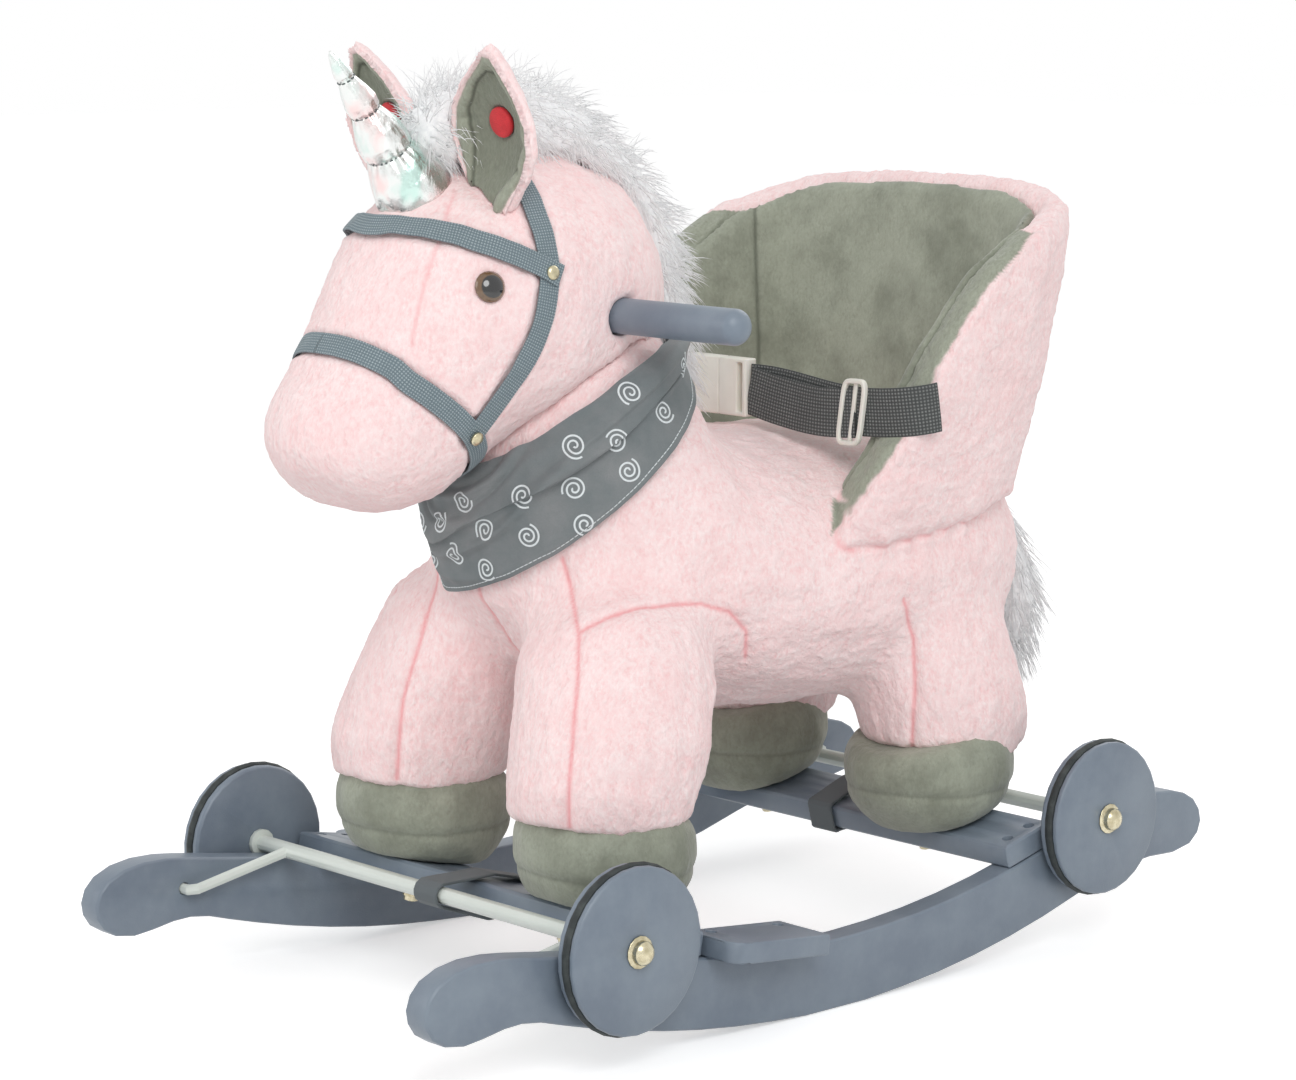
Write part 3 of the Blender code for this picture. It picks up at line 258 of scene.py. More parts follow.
def paint_look():
    made, tree, shader = blank("grey_blue_paint_look", 0.42, Coat_Weight=0.15, Coat_Roughness=0.35)
    cloud = grain(tree, 26, 4.0, 0.6)
    tint(shader, mix(spread(cloud, 0.35, 0.68), srgb(111, 123, 137), srgb(127, 139, 151)))
    set_from(shader, "Roughness", spread(cloud, 0.3, 0.7, 0.36, 0.5))
    bump(shader, grain(tree, 900, 2.0, 0.5), 0.0003, 0.35)
    return made


def plated_look():
    made, tree, shader = blank("plated_steel_look", 0.28, 1.0)
    cloud = grain(tree, 220, 4.0, 0.6)
    colour = mix(spread(cloud, 0.35, 0.7), srgb(214, 206, 178), srgb(178, 168, 136))
    tint(shader, colour)
    set_from(shader, "Roughness", spread(cloud, 0.3, 0.7, 0.2, 0.36))
    return made


def foil_look():
    """Metallised fabric: silver that turns to mint and rose, with fine crinkles."""
    made, tree, shader = blank("silver_foil_look", 0.26, 0.92)
    cloud = grain(tree, 46, 3.0, 0.55, (1.0, 1.0, 0.6))
    colour = mix(spread(cloud, 0.36, 0.50), srgb(196, 222, 214), srgb(226, 228, 226))
    colour = mix(spread(cloud, 0.54, 0.66), colour, srgb(232, 210, 208))
    tint(shader, colour)
    crease = grain(tree, 130, 5.0, 0.6, (1.0, 1.0, 0.5))
    fine = grain(tree, 1500, 2.0, 0.5)
    low = bump(shader, crease, 0.0022, 0.5)
    bump(shader, fine, 0.0002, 0.3, low)
    return made


def webbing_look(name, dark, pale, pitch):
    """Woven webbing: a basket of short floats, laid out by the band's own UV in metres."""
    made, tree, shader = blank(name, 0.75, Sheen_Weight=0.08)
    where = add(tree, "ShaderNodeUVMap", uv_map="weave").outputs[0]
    pairs = [("Vector", where), ("Scale", 0.314 / pitch)]
    first = add(tree, "ShaderNodeTexWave", pairs, bands_direction="X").outputs["Fac"]
    second = add(tree, "ShaderNodeTexWave", pairs, bands_direction="Y").outputs["Fac"]
    woven = add(tree, "ShaderNodeMath", [(0, first), (1, second)], operation="MULTIPLY").outputs[0]
    cloud = grain(tree, 90, 3.0, 0.6)
    colour = mix(woven, dark, pale)
    tint(shader, mix(spread(cloud, 0.35, 0.7, 0.0, 0.3), colour, dark))
    bump(shader, woven, 0.0006, 0.8)
    return made


def eye_look():
    """A black pupil and a brown ring, under a clear coat."""
    made, tree, shader = blank("brown_eye_look", 0.12, Coat_Weight=1.0, Coat_Roughness=0.03)
    ring = marked(tree, "ring")
    fleck = grain(tree, 700, 3.0, 0.6)
    brown = mix(fleck, srgb(84, 60, 36), srgb(124, 92, 58))
    tint(shader, mix(spread(ring, 0.70, 0.76), srgb(10, 10, 12), brown))
    return made


def wood_look():
    made, tree, shader = blank("bare_wood_look", 0.6)
    pairs = [("Vector", place(tree, (1, 0.25, 1))), ("Scale", 55.0), ("Distortion", 6.0), ("Detail", 3.0)]
    rings = add(tree, "ShaderNodeTexWave", pairs).outputs["Fac"]
    tint(shader, mix(rings, srgb(196, 160, 112), srgb(222, 192, 148)))
    bump(shader, rings, 0.0003, 0.4)
    return made


def shag_look():
    made, tree, shader = blank("white_shag_look", 0.75, Sheen_Weight=0.4, Specular_IOR_Level=0.3)
    strand = grain(tree, 420, 3.0, 0.6)
    broad = grain(tree, 60, 3.0, 0.6)
    colour = mix(spread(strand, 0.3, 0.7), srgb(232, 233, 235), srgb(253, 253, 253))
    colour = mix(spread(broad, 0.35, 0.7, 0.0, 0.4), colour, srgb(236, 236, 236))
    tint(shader, colour)
    return made


def thread_look(name, colour):
    made, tree, shader = blank(name, 0.7)
    fine = grain(tree, 1500, 2.0, 0.5)
    tint(shader, mix(spread(fine, 0.3, 0.8, 0.0, 0.35), colour, darker(colour, 0.6)))
    bump(shader, fine, 0.0002, 0.5)
    return made


PAINT = paint_look()
TUBE = mottled(
    "white_tube_look", 0.32, (40, 3.0, 0.6), (srgb(206, 214, 207), srgb(224, 230, 224)),
    (700, 0.00025, 0.4), Coat_Weight=0.2, Coat_Roughness=0.25,
)
RUBBER = mottled(
    "black_rubber_look", 0.7, (120, 4.0, 0.6), (srgb(40, 46, 47), srgb(68, 74, 73)),
    (1400, 0.0002, 0.5), (0.4, 0.75),
)
PLATED = plated_look()
FOIL = foil_look()
CLOTH = mottled(
    "grey_cloth_look", 0.85, (30, 4.0, 0.6), (srgb(112, 120, 122), srgb(136, 139, 140)),
    (1700, 0.0003, 0.5), (0.35, 0.7), (srgb(98, 104, 106), 0.3, 0.7, 0.0, 0.3), Sheen_Weight=0.1,
)
WEB = webbing_look("grey_webbing_look", srgb(104, 120, 127), srgb(184, 197, 202), 0.0017)
BELT = webbing_look("dark_webbing_look", srgb(60, 63, 63), srgb(140, 143, 141), 0.0021)
STRAP = webbing_look("strap_webbing_look", srgb(92, 99, 102), srgb(150, 158, 160), 0.0013)
PLASTIC = mottled(
    "white_plastic_look", 0.38, (60, 3.0, 0.6), (srgb(222, 218, 208), srgb(238, 234, 225)),
    (1300, 0.0001, 0.4), Subsurface_Weight=0.05,
)
EYE = eye_look()
PATCH = mottled(
    "red_patch_look", 0.6, (150, 3.0, 0.5), (srgb(206, 28, 40), srgb(226, 44, 54)),
    (1600, 0.0003, 0.6), (0.35, 0.7), (srgb(170, 18, 30), 0.35, 0.7, 0.0, 0.4), Sheen_Weight=0.2,
)
WOOD = wood_look()
SHAG = shag_look()
WHITE_THREAD = thread_look("white_thread_look", srgb(226, 232, 234))
GREY_THREAD = thread_look("grey_thread_look", srgb(96, 104, 104))
LOOKS = {
    "grey_blue_paint": PAINT, "white_tube": TUBE, "black_rubber": RUBBER, "plated_steel": PLATED,
    "white_plastic": PLASTIC, "red_patch": PATCH, "bare_wood": WOOD,
}
SLOT_OF = {row["node"]: row["material_slot"] for row in frame["record"]["subparts"]}


# Mesh helpers
def shown(name, data):
    made = bpy.data.objects.new(name, data)
    bpy.context.scene.collection.objects.link(made)
    return made


def linked(name, mesh, look):
    mesh.materials.clear()
    mesh.materials.append(look)
    return shown(name, mesh)


def modified(piece, kind, **settings):
    made = piece.modifiers.new(kind.lower(), kind)
    for key, value in settings.items():
        setattr(made, key, value)


def settle(piece):
    """Applies a piece's modifiers."""
    bpy.context.view_layer.update()
    mesh = bpy.data.meshes.new_from_object(piece.evaluated_get(bpy.context.evaluated_depsgraph_get()))
    piece.modifiers.clear()
    piece.data = mesh


def read(items, key, wide=1, kind=float):
    """One property of all items, as an array."""
    values = np.empty(len(items) * wide, kind)
    items.foreach_get(key, values)
    return values.reshape(-1, wide) if wide > 1 else values


def points_of(piece):
    return read(piece.data.vertices, "co", 3)


def normals_of(piece):
    return read(piece.data.vertices, "normal", 3)


def move_points(piece, co):
    piece.data.vertices.foreach_set("co", np.ascontiguousarray(co).ravel())
    piece.data.update()


def attribute(piece, name, values):
    found = piece.data.attributes.get(name) or piece.data.attributes.new(name, "FLOAT", "POINT")
    found.data.foreach_set("value", np.asarray(values, np.float32))


def smooth(piece, angle=None):
    piece.data.shade_smooth()
    if angle is not None:
        piece.data.set_sharp_from_angle(angle=math.radians(angle))


def waves(co, scale, seed=0.0):
    """Smooth noise from -1 to 1 at each point."""
    return np.array([noise.noise(Vector((x * scale + seed, y * scale, z * scale))) for x, y, z in co])


def bell(x, wide):
    """1 at the middle of a band, and less away from it."""
    return np.exp(-(x / wide) ** 2)


def step_down(x, soft):
    """1 before a step and 0 after it."""
    return 1 / (1 + np.exp(x / soft))


def off_line(co, line, reach=0.02):
    """Each point's distance from a polyline, as far as a reach."""
    ends = np.array(line)
    near = np.all((co > ends.min(0) - reach) & (co < ends.max(0) + reach), axis=1)
    part = co[near]
    best = np.full(len(part), reach)
    for a, b in zip(ends[:-1], ends[1:]):
        run = b - a
        t = np.clip((part - a) @ run / max(run @ run, 1e-12), 0, 1)
        best = np.minimum(best, np.linalg.norm(part - a - t[:, None] * run, axis=1))
    away = np.full(len(co), reach)
    away[near] = best
    return away


def ride(piece, node, *replaced):
    """The piece moves with a node's body and stands for the replaced nodes."""
    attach(piece, NODES[node]["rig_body"])
    if replaced:
        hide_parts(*replaced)
    return piece


def taken(mesh):
    """A mesh opened for work."""
    work = bmesh.new()
    work.from_mesh(mesh)
    return work


def put(work, mesh):
    """Work written back to a mesh."""
    work.to_mesh(mesh)
    work.free()
    return mesh


def packed(work, name):
    return put(work, bpy.data.meshes.new(name))


def opened(node):
    """A node's mesh with its doubled points merged, opened for work."""
    work = taken(NODES[node].data)
    bmesh.ops.remove_doubles(work, verts=work.verts, dist=0.00001)
    return work


def welded(node):
    """A node's mesh as one skin."""
    return packed(opened(node), node + "_skin")


RIPPLE_SCALE = 34.0
TUFT_SCALE = 260.0
TUFT_STRETCH = (1.0, 0.6, 0.5)
SEAM_WIDE = 0.0030
THREAD_WIDE = 0.0013


def stuffed(
    name, node, look, voxel, passes, ripple=0.0, tuft=0.0, seams=(), seam_deep=0.0016, press=(),
    filled=False, seam_mark=0.85,
):
    """A sewn, stuffed piece over a node: rounded cut edges, soft hollows, pile tufts and sunk seams."""
    piece = linked(name, hull_of(node) if filled else welded(node), look)
    modified(piece, "REMESH", mode="VOXEL", voxel_size=voxel)
    modified(piece, "SMOOTH", factor=0.5, iterations=passes)
    modified(piece, "SUBSURF", levels=1, render_levels=1)
    settle(piece)
    co = points_of(piece)
    out = normals_of(piece)
    shift = np.zeros(len(co))
    if ripple:
        shift += ripple * waves(co, RIPPLE_SCALE, 3.1)
    if tuft:
        pile = co * TUFT_STRETCH
        shift += tuft * waves(pile, TUFT_SCALE, 7.7) + 0.6 * tuft * waves(pile, 540.0, 1.3)
    mark = np.zeros(len(co))
    for line in seams:
        away = off_line(co, line)
        shift -= seam_deep * bell(away, SEAM_WIDE)
        mark = np.maximum(mark, seam_mark * bell(away, THREAD_WIDE))
    for line, half, deep in press:
        away = off_line(co, line)
        shift -= deep * step_down(away - half, 0.0012)
        shift += 0.35 * deep * bell(away - half - 0.0045, 0.0028)
    move_points(piece, co + out * shift[:, None])
    attribute(piece, "seam_and_painted_shade", mark)
    smooth(piece)
    ride(piece, node, node)
    return piece


def on_skin(tree, points, count=8):
    """A smooth line through points, laid on a skin."""
    line = []
    total = len(points) - 1
    for k in range(count * total + 1):
        i = min(k // count, total - 1)
        t = k / count - i
        line.append(Vector(points[i]).lerp(Vector(points[i + 1]), t))
    return [tuple(tree.find_nearest(p)[0]) for p in line]


def skin_of(piece):
    mesh = piece.data
    return BVHTree.FromPolygons([v.co for v in mesh.vertices], [p.vertices for p in mesh.polygons])


def hull_of(node):
    """A closed skin round a node that fills its hollows and cuts."""
    work = opened(node)
    made = bmesh.ops.convex_hull(work, input=work.verts)
    left = [v for v in made["geom_interior"] if isinstance(v, bmesh.types.BMVert)]
    bmesh.ops.delete(work, geom=left, context="VERTS")
    loose = [f for f in work.faces if not f.normal.length]
    bmesh.ops.delete(work, geom=loose, context="FACES")
    kept = {f for f in made["geom"] if isinstance(f, bmesh.types.BMFace) and f.is_valid}
    bmesh.ops.delete(work, geom=[f for f in work.faces if f not in kept], context="FACES")
    bmesh.ops.recalc_face_normals(work, faces=work.faces)
    return packed(work, node + "_hull")


def grid(name, rows, look, closed_rows=False, uv=None):
    """A mesh through rows of points of equal count, with its open ends capped."""
    count = len(rows[0])
    points = [tuple(p) for row in rows for p in row]
    faces = []
    for r in range(len(rows) if closed_rows else len(rows) - 1):
        below = r * count
        above = (r + 1) % len(rows) * count
        for i in range(count):
            j = (i + 1) % count
            faces.append((below + i, below + j, above + j, above + i))
    if not closed_rows:
        faces.append(tuple(reversed(range(count))))
        faces.append(tuple(range(len(points) - count, len(points))))
    mesh = bpy.data.meshes.new(name)
    mesh.from_pydata(points, [], faces)
    mesh.update()
    if uv is not None:
        layer = mesh.uv_layers.new(name="weave")
        flat = [uv[r][i] for r in range(len(rows)) for i in range(count)]
        for loop in mesh.loops:
            layer.data[loop.index].uv = flat[loop.vertex_index]
    work = taken(mesh)
    bmesh.ops.recalc_face_normals(work, faces=work.faces)
    return linked(name, put(work, mesh), look)


def even(points, step, closed=False):
    """Points at even steps along a line."""
    line = [Vector(p) for p in points]
    if closed:
        line.append(line[0])
    run = [0.0]
    for a, b in zip(line[:-1], line[1:]):
        run.append(run[-1] + (b - a).length)
    count = max(2, round(run[-1] / step))
    made = []
    k = 0
    for i in range(count if closed else count + 1):
        at = run[-1] * i / count
        while k < len(run) - 2 and run[k + 1] < at:
            k += 1
        made.append(line[k].lerp(line[k + 1], (at - run[k]) / max(run[k + 1] - run[k], 1e-9)))
    return made


def eased(points, passes, closed=False):
    """A line with its corners eased."""
    line = [Vector(p) for p in points]
    count = len(line)
    for _ in range(passes):
        fresh = []
        for k, p in enumerate(line):
            if closed or 0 < k < count - 1:
                fresh.append((line[k - 1] + 2 * p + line[(k + 1) % count]) / 4)
            else:
                fresh.append(p)
        line = fresh
    return line


def webbing(name, path, outs, width, thick, look, closed=False, across=8):
    """A flat woven band along a path, with its flat side towards outs and its edges rounded over."""
    rows = []
    uv = []
    along = 0.0
    count = len(path)
    section = []
    for i in range(across + 1):
        t = -1 + 2 * i / across
        section.append((t * width / 2, thick * (0.5 - 0.22 * abs(t) ** 6)))
    section += [(x, -h) for x, h in reversed(section)]
    for k in range(count):
        a = path[k - 1] if k or closed else path[k]
        b = path[(k + 1) % count] if k + 1 < count or closed else path[k]
        ahead = (b - a).normalized()
        side = ahead.cross(outs[k]).normalized()
        up = side.cross(ahead).normalized()
        rows.append([path[k] + side * x + up * h for x, h in section])
        uv.append([(x, along) for x, h in section])
        along += (path[(k + 1) % count] - path[k]).length
    made = grid(name, rows, look, closed_rows=closed, uv=uv)
    smooth(made, 50)
    return made


def turned(name, profile, at, axis, look, segments=24):
    """A round piece from (height, radius) pairs, along an axis from a point."""
    turn = Vector(axis).normalized().to_track_quat("Z", "Y").to_matrix()
    rows = []
    for h, r in profile:
        row = []
        for k in range(segments):
            angle = 2 * math.pi * k / segments
            row.append(Vector(at) + turn @ Vector((r * math.cos(angle), r * math.sin(angle), h)))
        rows.append(row)
    made = grid(name, rows, look)
    smooth(made, 40)
    return made


def joined(name, pieces):
    """One piece from several."""
    work = bmesh.new()
    look = pieces[0].data.materials[0]
    for piece in pieces:
        work.from_mesh(piece.data)
        bpy.data.objects.remove(piece)
    made = linked(name, packed(work, name), look)
    smooth(made, 40)
    return made


def from_arrays(name, points, faces):
    """A mesh from arrays of points and of faces with equal numbers of corners."""
    mesh = bpy.data.meshes.new(name)
    mesh.vertices.add(points.size // 3)
    mesh.vertices.foreach_set("co", points.ravel())
    mesh.loops.add(faces.size)
    mesh.loops.foreach_set("vertex_index", faces.astype(np.int32).ravel())
    mesh.polygons.add(len(faces))
    mesh.polygons.foreach_set("loop_start", np.arange(0, faces.size, faces.shape[1], dtype=np.int32))
    mesh.update(calc_edges=True)
    return mesh


STRAND_STEPS = 4
STRAND_CURL = 0.25


def strands(name, roots, ways, lengths, widths, look, droop, seed):
    """Tapered three-sided strands that grow from roots, bend down and wave a little."""
    rng = np.random.default_rng(seed)
    count = len(roots)
    steps = STRAND_STEPS
    bend = rng.normal(size=(count, 3)) * STRAND_CURL
    places = [roots]
    way = ways / np.linalg.norm(ways, axis=1)[:, None]
    frames = [way]
    here = roots.copy()
    for k in range(steps):
        way = way + np.array((0, 0, -1.0)) * droop / steps + bend * (0.7 if k % 2 else -0.4) / steps
        way /= np.linalg.norm(way, axis=1)[:, None]
        here = here + way * (lengths / steps)[:, None]
        places.append(here)
        frames.append(way)
    other = np.tile((0.31, 0.87, 0.38), (count, 1))
    points = np.empty((count, steps * 3 + 1, 3))
    for k in range(steps):
        side = np.cross(frames[k], other)
        side /= np.linalg.norm(side, axis=1)[:, None]
        up = np.cross(side, frames[k])
        r = (widths * (1 - 0.75 * k / steps) / 2)[:, None]
        for c in range(3):
            angle = 2 * math.pi * c / 3
            points[:, k * 3 + c] = places[k] + (side * math.cos(angle) + up * math.sin(angle)) * r
    points[:, -1] = places[-1]
    faces = []
    for k in range(steps - 1):
        for c in range(3):
            d = (c + 1) % 3
            faces.append((k * 3 + c, k * 3 + d, k * 3 + 3 + d))
            faces.append((k * 3 + c, k * 3 + 3 + d, k * 3 + 3 + c))
    last = (steps - 1) * 3
    for c in range(3):
        faces.append((last + c, last + (c + 1) % 3, steps * 3))
    faces.append((2, 1, 0))
    one = np.array(faces)
    all_faces = (one[None] + (np.arange(count) * (steps * 3 + 1))[:, None, None]).reshape(-1, 3)
    mesh = from_arrays(name, points, all_faces)
    mesh.validate()
    made = linked(name, mesh, look)
    smooth(made)
    return made


def scatter(piece, count, seed):
    """Random points on a piece and the normals there."""
    mesh = piece.data
    mesh.calc_loop_triangles()
    corners = points_of(piece)[read(mesh.loop_triangles, "vertices", 3, np.int32)]
    cross = np.cross(corners[:, 1] - corners[:, 0], corners[:, 2] - corners[:, 0])
    area = np.linalg.norm(cross, axis=1)
    rng = np.random.default_rng(seed)
    pick = rng.choice(len(area), count, p=area / area.sum())
    u = rng.random((count, 1))
    v = rng.random((count, 1))
    flip = (u + v) > 1
    u = np.where(flip, 1 - u, u)
    v = np.where(flip, 1 - v, v)
    c = corners[pick]
    at = c[:, 0] + (c[:, 1] - c[:, 0]) * u + (c[:, 2] - c[:, 0]) * v
    return at, cross[pick] / np.linalg.norm(cross[pick], axis=1)[:, None], rng


def quick_voxel(size):
    return size


def tree_of(node):
    return skin_of(NODES[node])


head_skin = tree_of("head")


PATH_STEP = 0.0015


def laid(points, skin, lift, closed=False):
    """A path laid on a skin at a lift, with the outward direction at each of its points."""
    path = even(points, PATH_STEP, closed)
    where = []
    outs = []
    for p in path:
        here, out, _, _ = skin.find_nearest(p)
        where.append(here + out * lift)
        outs.append(out)
    return eased(where, 6, closed), [o.normalized() for o in eased(outs, 18, closed)]


# Webbing headstall, with a noseband, a browband and two cheek straps
BAND_W = 0.013
BAND_T = 0.0017
NOSE = [
    (0.0, -0.258, 0.396), (0.024, -0.250, 0.391), (0.045, -0.221, 0.369), (0.047, -0.195, 0.347),
    (0.030, -0.177, 0.326), (0.0, -0.170, 0.316),
]
CHEEK = [
    (0.0, -0.147, 0.503), (0.030, -0.149, 0.496), (0.055, -0.152, 0.478), (0.070, -0.153, 0.4365),
    (0.070, -0.163, 0.400), (0.060, -0.179, 0.372), (0.047, -0.196, 0.347),
]
BROW = [
    (0.0, -0.225, 0.463), (0.025, -0.217, 0.462), (0.048, -0.190, 0.452), (0.068, -0.155, 0.438),
    (0.0715, -0.147, 0.4345),
]


def mirrored(points, both_ends=False):
    """A line on the left carried over to the right, from right to left, or as a ring."""
    other = [(-x, y, z) for x, y, z in reversed(points[1:-1] if both_ends else points[1:])]
    return list(points) + other if both_ends else other + list(points)


def curved(points, count=12):
    """A smooth line through points."""
    rows = [Vector(p) for p in points]
    made = []
    for k in range(len(rows) - 1):
        a = rows[max(0, k - 1)]
        b = rows[k]
        c = rows[k + 1]
        d = rows[min(len(rows) - 1, k + 2)]
        for i in range(count):
            t = i / count
            bend = (2 * a - 5 * b + 4 * c - d) * t * t
            made.append(0.5 * (2 * b + (c - a) * t + bend + (3 * b - a - 3 * c + d) * t ** 3))
    made.append(rows[-1])
    return made


nose_path, nose_outs = laid(mirrored(curved(NOSE), True), head_skin, 0.0012, True)
cheek_path, cheek_outs = laid(mirrored(curved(CHEEK)), head_skin, 0.0013)
brow_path, brow_outs = laid(mirrored(curved(BROW)), head_skin, 0.0030)
pressed = []
for path, deep in ((nose_path + nose_path[:1], 0.0022), (cheek_path, 0.0022), (brow_path, 0.0018)):
    pressed.append(([tuple(p) for p in path[::4] + path[-1:]], BAND_W / 2, deep))

# Body, legs and seat wall are sewn to each other: one skin is shaped over them, then parted between them
SEWN = ["body", "seat_shell"] + [f"{end}_{side}_leg" for end in ENDS for side, _ in SIDES]
CHEST_SEAM = [
    (0.0, -0.175, 0.330), (0.002, -0.165, 0.275), (0.003, -0.150, 0.247), (0.002, -0.141, 0.230),
    (-0.002, -0.122, 0.210), (0.0, -0.080, 0.180), (0.0, 0.030, 0.155), (0.0, 0.150, 0.165),
]
LEG_SEAMS = [
    [
        (0.0604, -0.1358, 0.2691), (0.0684, -0.1353, 0.2467), (0.0854, -0.1456, 0.2314),
        (0.0964, -0.1561, 0.2064), (0.1045, -0.1672, 0.1744), (0.1092, -0.1744, 0.1473),
        (0.1100, -0.1750, 0.1200),
    ],
    [
        (-0.0500, -0.1330, 0.262), (-0.0476, -0.1467, 0.2333), (-0.0465, -0.1571, 0.2073),
        (-0.0505, -0.1666, 0.1746), (-0.0520, -0.1703, 0.1250),
    ],
]
FRONT_INSEAM = [
    (0.0860, -0.1447, 0.2326), (0.0952, -0.1221, 0.2416), (0.0996, -0.0989, 0.2435),
    (0.0962, -0.0601, 0.2391), (0.1009, -0.0403, 0.2326), (0.0989, -0.0244, 0.2185), (0.0930, -0.0180, 0.1990),
]
REAR_INSEAM = [
    (0.1139, 0.0950, 0.2258), (0.1068, 0.1109, 0.1981), (0.1074, 0.1116, 0.1667), (0.1026, 0.1128, 0.1200),
]
for side, sign in SIDES:
    for line in (FRONT_INSEAM, REAR_INSEAM):
        LEG_SEAMS.append([(sign * x, y, z) for x, y, z in line])
# Where the velour that rolls over the front of the seat's wings meets the plush outside, as (y, z)
WING_LINE = [
    (0.0330, 0.2650), (0.0440, 0.2790), (0.0566, 0.2999), (0.0747, 0.3294), (0.0899, 0.3583),
    (0.0958, 0.3706), (0.1123, 0.3945), (0.1334, 0.4200), (0.1686, 0.4448), (0.1740, 0.4480),
]
# How far a sewn piece's edge turns in under the next one
SEAM_ALLOWANCE = 0.006


def merged(name, nodes, hulls, look):
    """One mesh from several nodes, with the hollows and cuts of some filled."""
    work = bmesh.new()
    for node in nodes:
        work.from_mesh(hull_of(node) if node in hulls else welded(node))
    return linked(name, packed(work, name), look)


def groups_of(work, same):
    """Faces in groups that touch and are alike, largest first."""
    work.faces.ensure_lookup_table()
    seen = bytearray(len(work.faces))
    found = []
    for face in work.faces:
        if seen[face.index]:
            continue
        seen[face.index] = 1
        group = [face]
        for one in group:
            for edge in one.edges:
                for other in edge.link_faces:
                    if not seen[other.index] and same(one, other):
                        seen[other.index] = 1
                        group.append(other)
        found.append(group)
    return sorted(found, key=len, reverse=True)


def outer_only(piece):
    """Drops the shells that lie inside the largest one."""
    work = taken(piece.data)
    for group in groups_of(work, lambda a, b: True)[1:]:
        bmesh.ops.delete(work, geom=group, context="FACES")
    put(work, piece.data)


def relaxed(co, edges, weight, passes):
    """Points moved towards the middle of their neighbours, each by its weight."""
    ends = np.concatenate([edges, edges[:, ::-1]])
    share = np.bincount(ends[:, 0], minlength=len(co))
    for _ in range(passes):
        middle = np.stack([np.bincount(ends[:, 0], co[ends[:, 1], i], len(co)) for i in range(3)], axis=1)
        co = co + (middle / np.maximum(share, 1)[:, None] - co) * weight[:, None]
    return co


def part_of(name, co, quads, normals, marks, look):
    """The part of a skin that some of its faces make, closed where it was parted."""
    used, flat = np.unique(quads, return_inverse=True)
    mesh = from_arrays(name, co[used], flat.reshape(-1, 4))
    work = taken(mesh)
    work.verts.ensure_lookup_table()
    rim = [e for e in work.edges if e.is_boundary]
    made = bmesh.ops.extrude_edge_only(work, edges=rim)["geom"]
    turned_in = {v for v in made if isinstance(v, bmesh.types.BMVert)}
    for vert in turned_in:
        before = next(e.other_vert(vert) for e in vert.link_edges if e.other_vert(vert) not in turned_in)
        vert.co = before.co - Vector(normals[used[before.index]]) * SEAM_ALLOWANCE
    rim = [e for e in work.edges if e.is_boundary]
    caps = bmesh.ops.holes_fill(work, edges=rim, sides=0)["faces"]
    bmesh.ops.triangulate(work, faces=caps, ngon_method="EAR_CLIP")
    put(work, mesh)
    extra = len(mesh.vertices) - len(used)
    piece = linked(name, mesh, look)
    for key, values in marks.items():
        attribute(piece, key, np.concatenate([values[used], np.zeros(extra)]))
    smooth(piece)
    kept = [tuple(n) for n in normals[used]]
    mesh.normals_split_custom_set_from_vertices(kept + [(0.0, 0.0, 0.0)] * extra)
    return piece


BELT_W = 0.030
BELT_T = 0.0017
BELT_Z = 0.3505
LEFT_BELT = [
    (0.0148, 0.0600), (0.035, 0.0625), (0.060, 0.0640), (0.085, 0.0665), (0.108, 0.0700), (0.124, 0.0745),
    (0.1305, 0.0774), (0.1364, 0.0818), (0.1402, 0.0876), (0.1418, 0.0935),
]
RIGHT_BELT = [
    (-0.0408, 0.0600), (-0.060, 0.0625), (-0.085, 0.0660), (-0.108, 0.0700), (-0.124, 0.0745),
    (-0.1305, 0.0774), (-0.1364, 0.0818), (-0.1402, 0.0876), (-0.1418, 0.0935),
]


def belt_path(line, dip):
    """The middle line of a belt's webbing, which sags a little between its buckle and its sewn end."""
    path = even(curved([(x, y, BELT_Z) for x, y in line]), PATH_STEP)
    count = len(path)
    outs = []
    for k in range(count):
        t = k / (count - 1)
        path[k] = path[k] + Vector((0, 0, -dip * (math.sin(math.pi * min(t / 1.3, 1.0)) ** 2)))
    for k in range(count):
        a = path[max(0, k - 1)]
        b = path[min(count - 1, k + 1)]
        flat = Vector((b.y - a.y, a.x - b.x, 0)).normalized()
        outs.append((flat + UP * 0.10 * math.sin(2 * math.pi * k / (count - 1))).normalized())
    return path, outs


LEFT_DIP = 0.008
RIGHT_DIP = 0.003
left_belt, left_outs = belt_path(LEFT_BELT, LEFT_DIP)
right_belt, right_outs = belt_path(RIGHT_BELT, RIGHT_DIP)


SHELL = SEWN.index("seat_shell")
skin = merged("plush_skin", SEWN, [n for n in SEWN if n.endswith("_leg")], EAR)
modified(skin, "REMESH", mode="VOXEL", voxel_size=quick_voxel(0.0034))
settle(skin)
outer_only(skin)
co = points_of(skin)
edges = read(skin.data.edges, "vertices", 2, np.int32)
trees = [tree_of(node) for node in SEWN]
away = np.array([[tree.find_nearest(p)[3] for tree in trees] for p in co])
ranked = np.sort(away, axis=1)
nearest = np.argsort(away, axis=1)
by_shell = (nearest[:, :2] == SHELL).any(axis=1)
close = bell(ranked[:, 1] - ranked[:, 0], np.where(by_shell, 0.009, 0.022))
co = relaxed(co, edges, np.where(nearest[:, 0] == SHELL, 0.30, 0.50), 7)
co = relaxed(co, edges, close * np.where(by_shell, 0.20, 0.60), 36)
move_points(skin, co)
apart = away[:, SHELL] - np.delete(away, SHELL, axis=1).min(1)
apart = relaxed(np.stack([apart] * 3, axis=1), edges, np.full(len(co), 0.5), 10)[:, 0]
attribute(skin, "to_shell", apart)
for node in SEWN:
    skin.data.materials.append(EAR)
work = taken(skin.data)
for face in work.faces:
    face.material_index = int(np.argmin(sum(away[v.index] for v in face.verts)))
main = set()
small = []
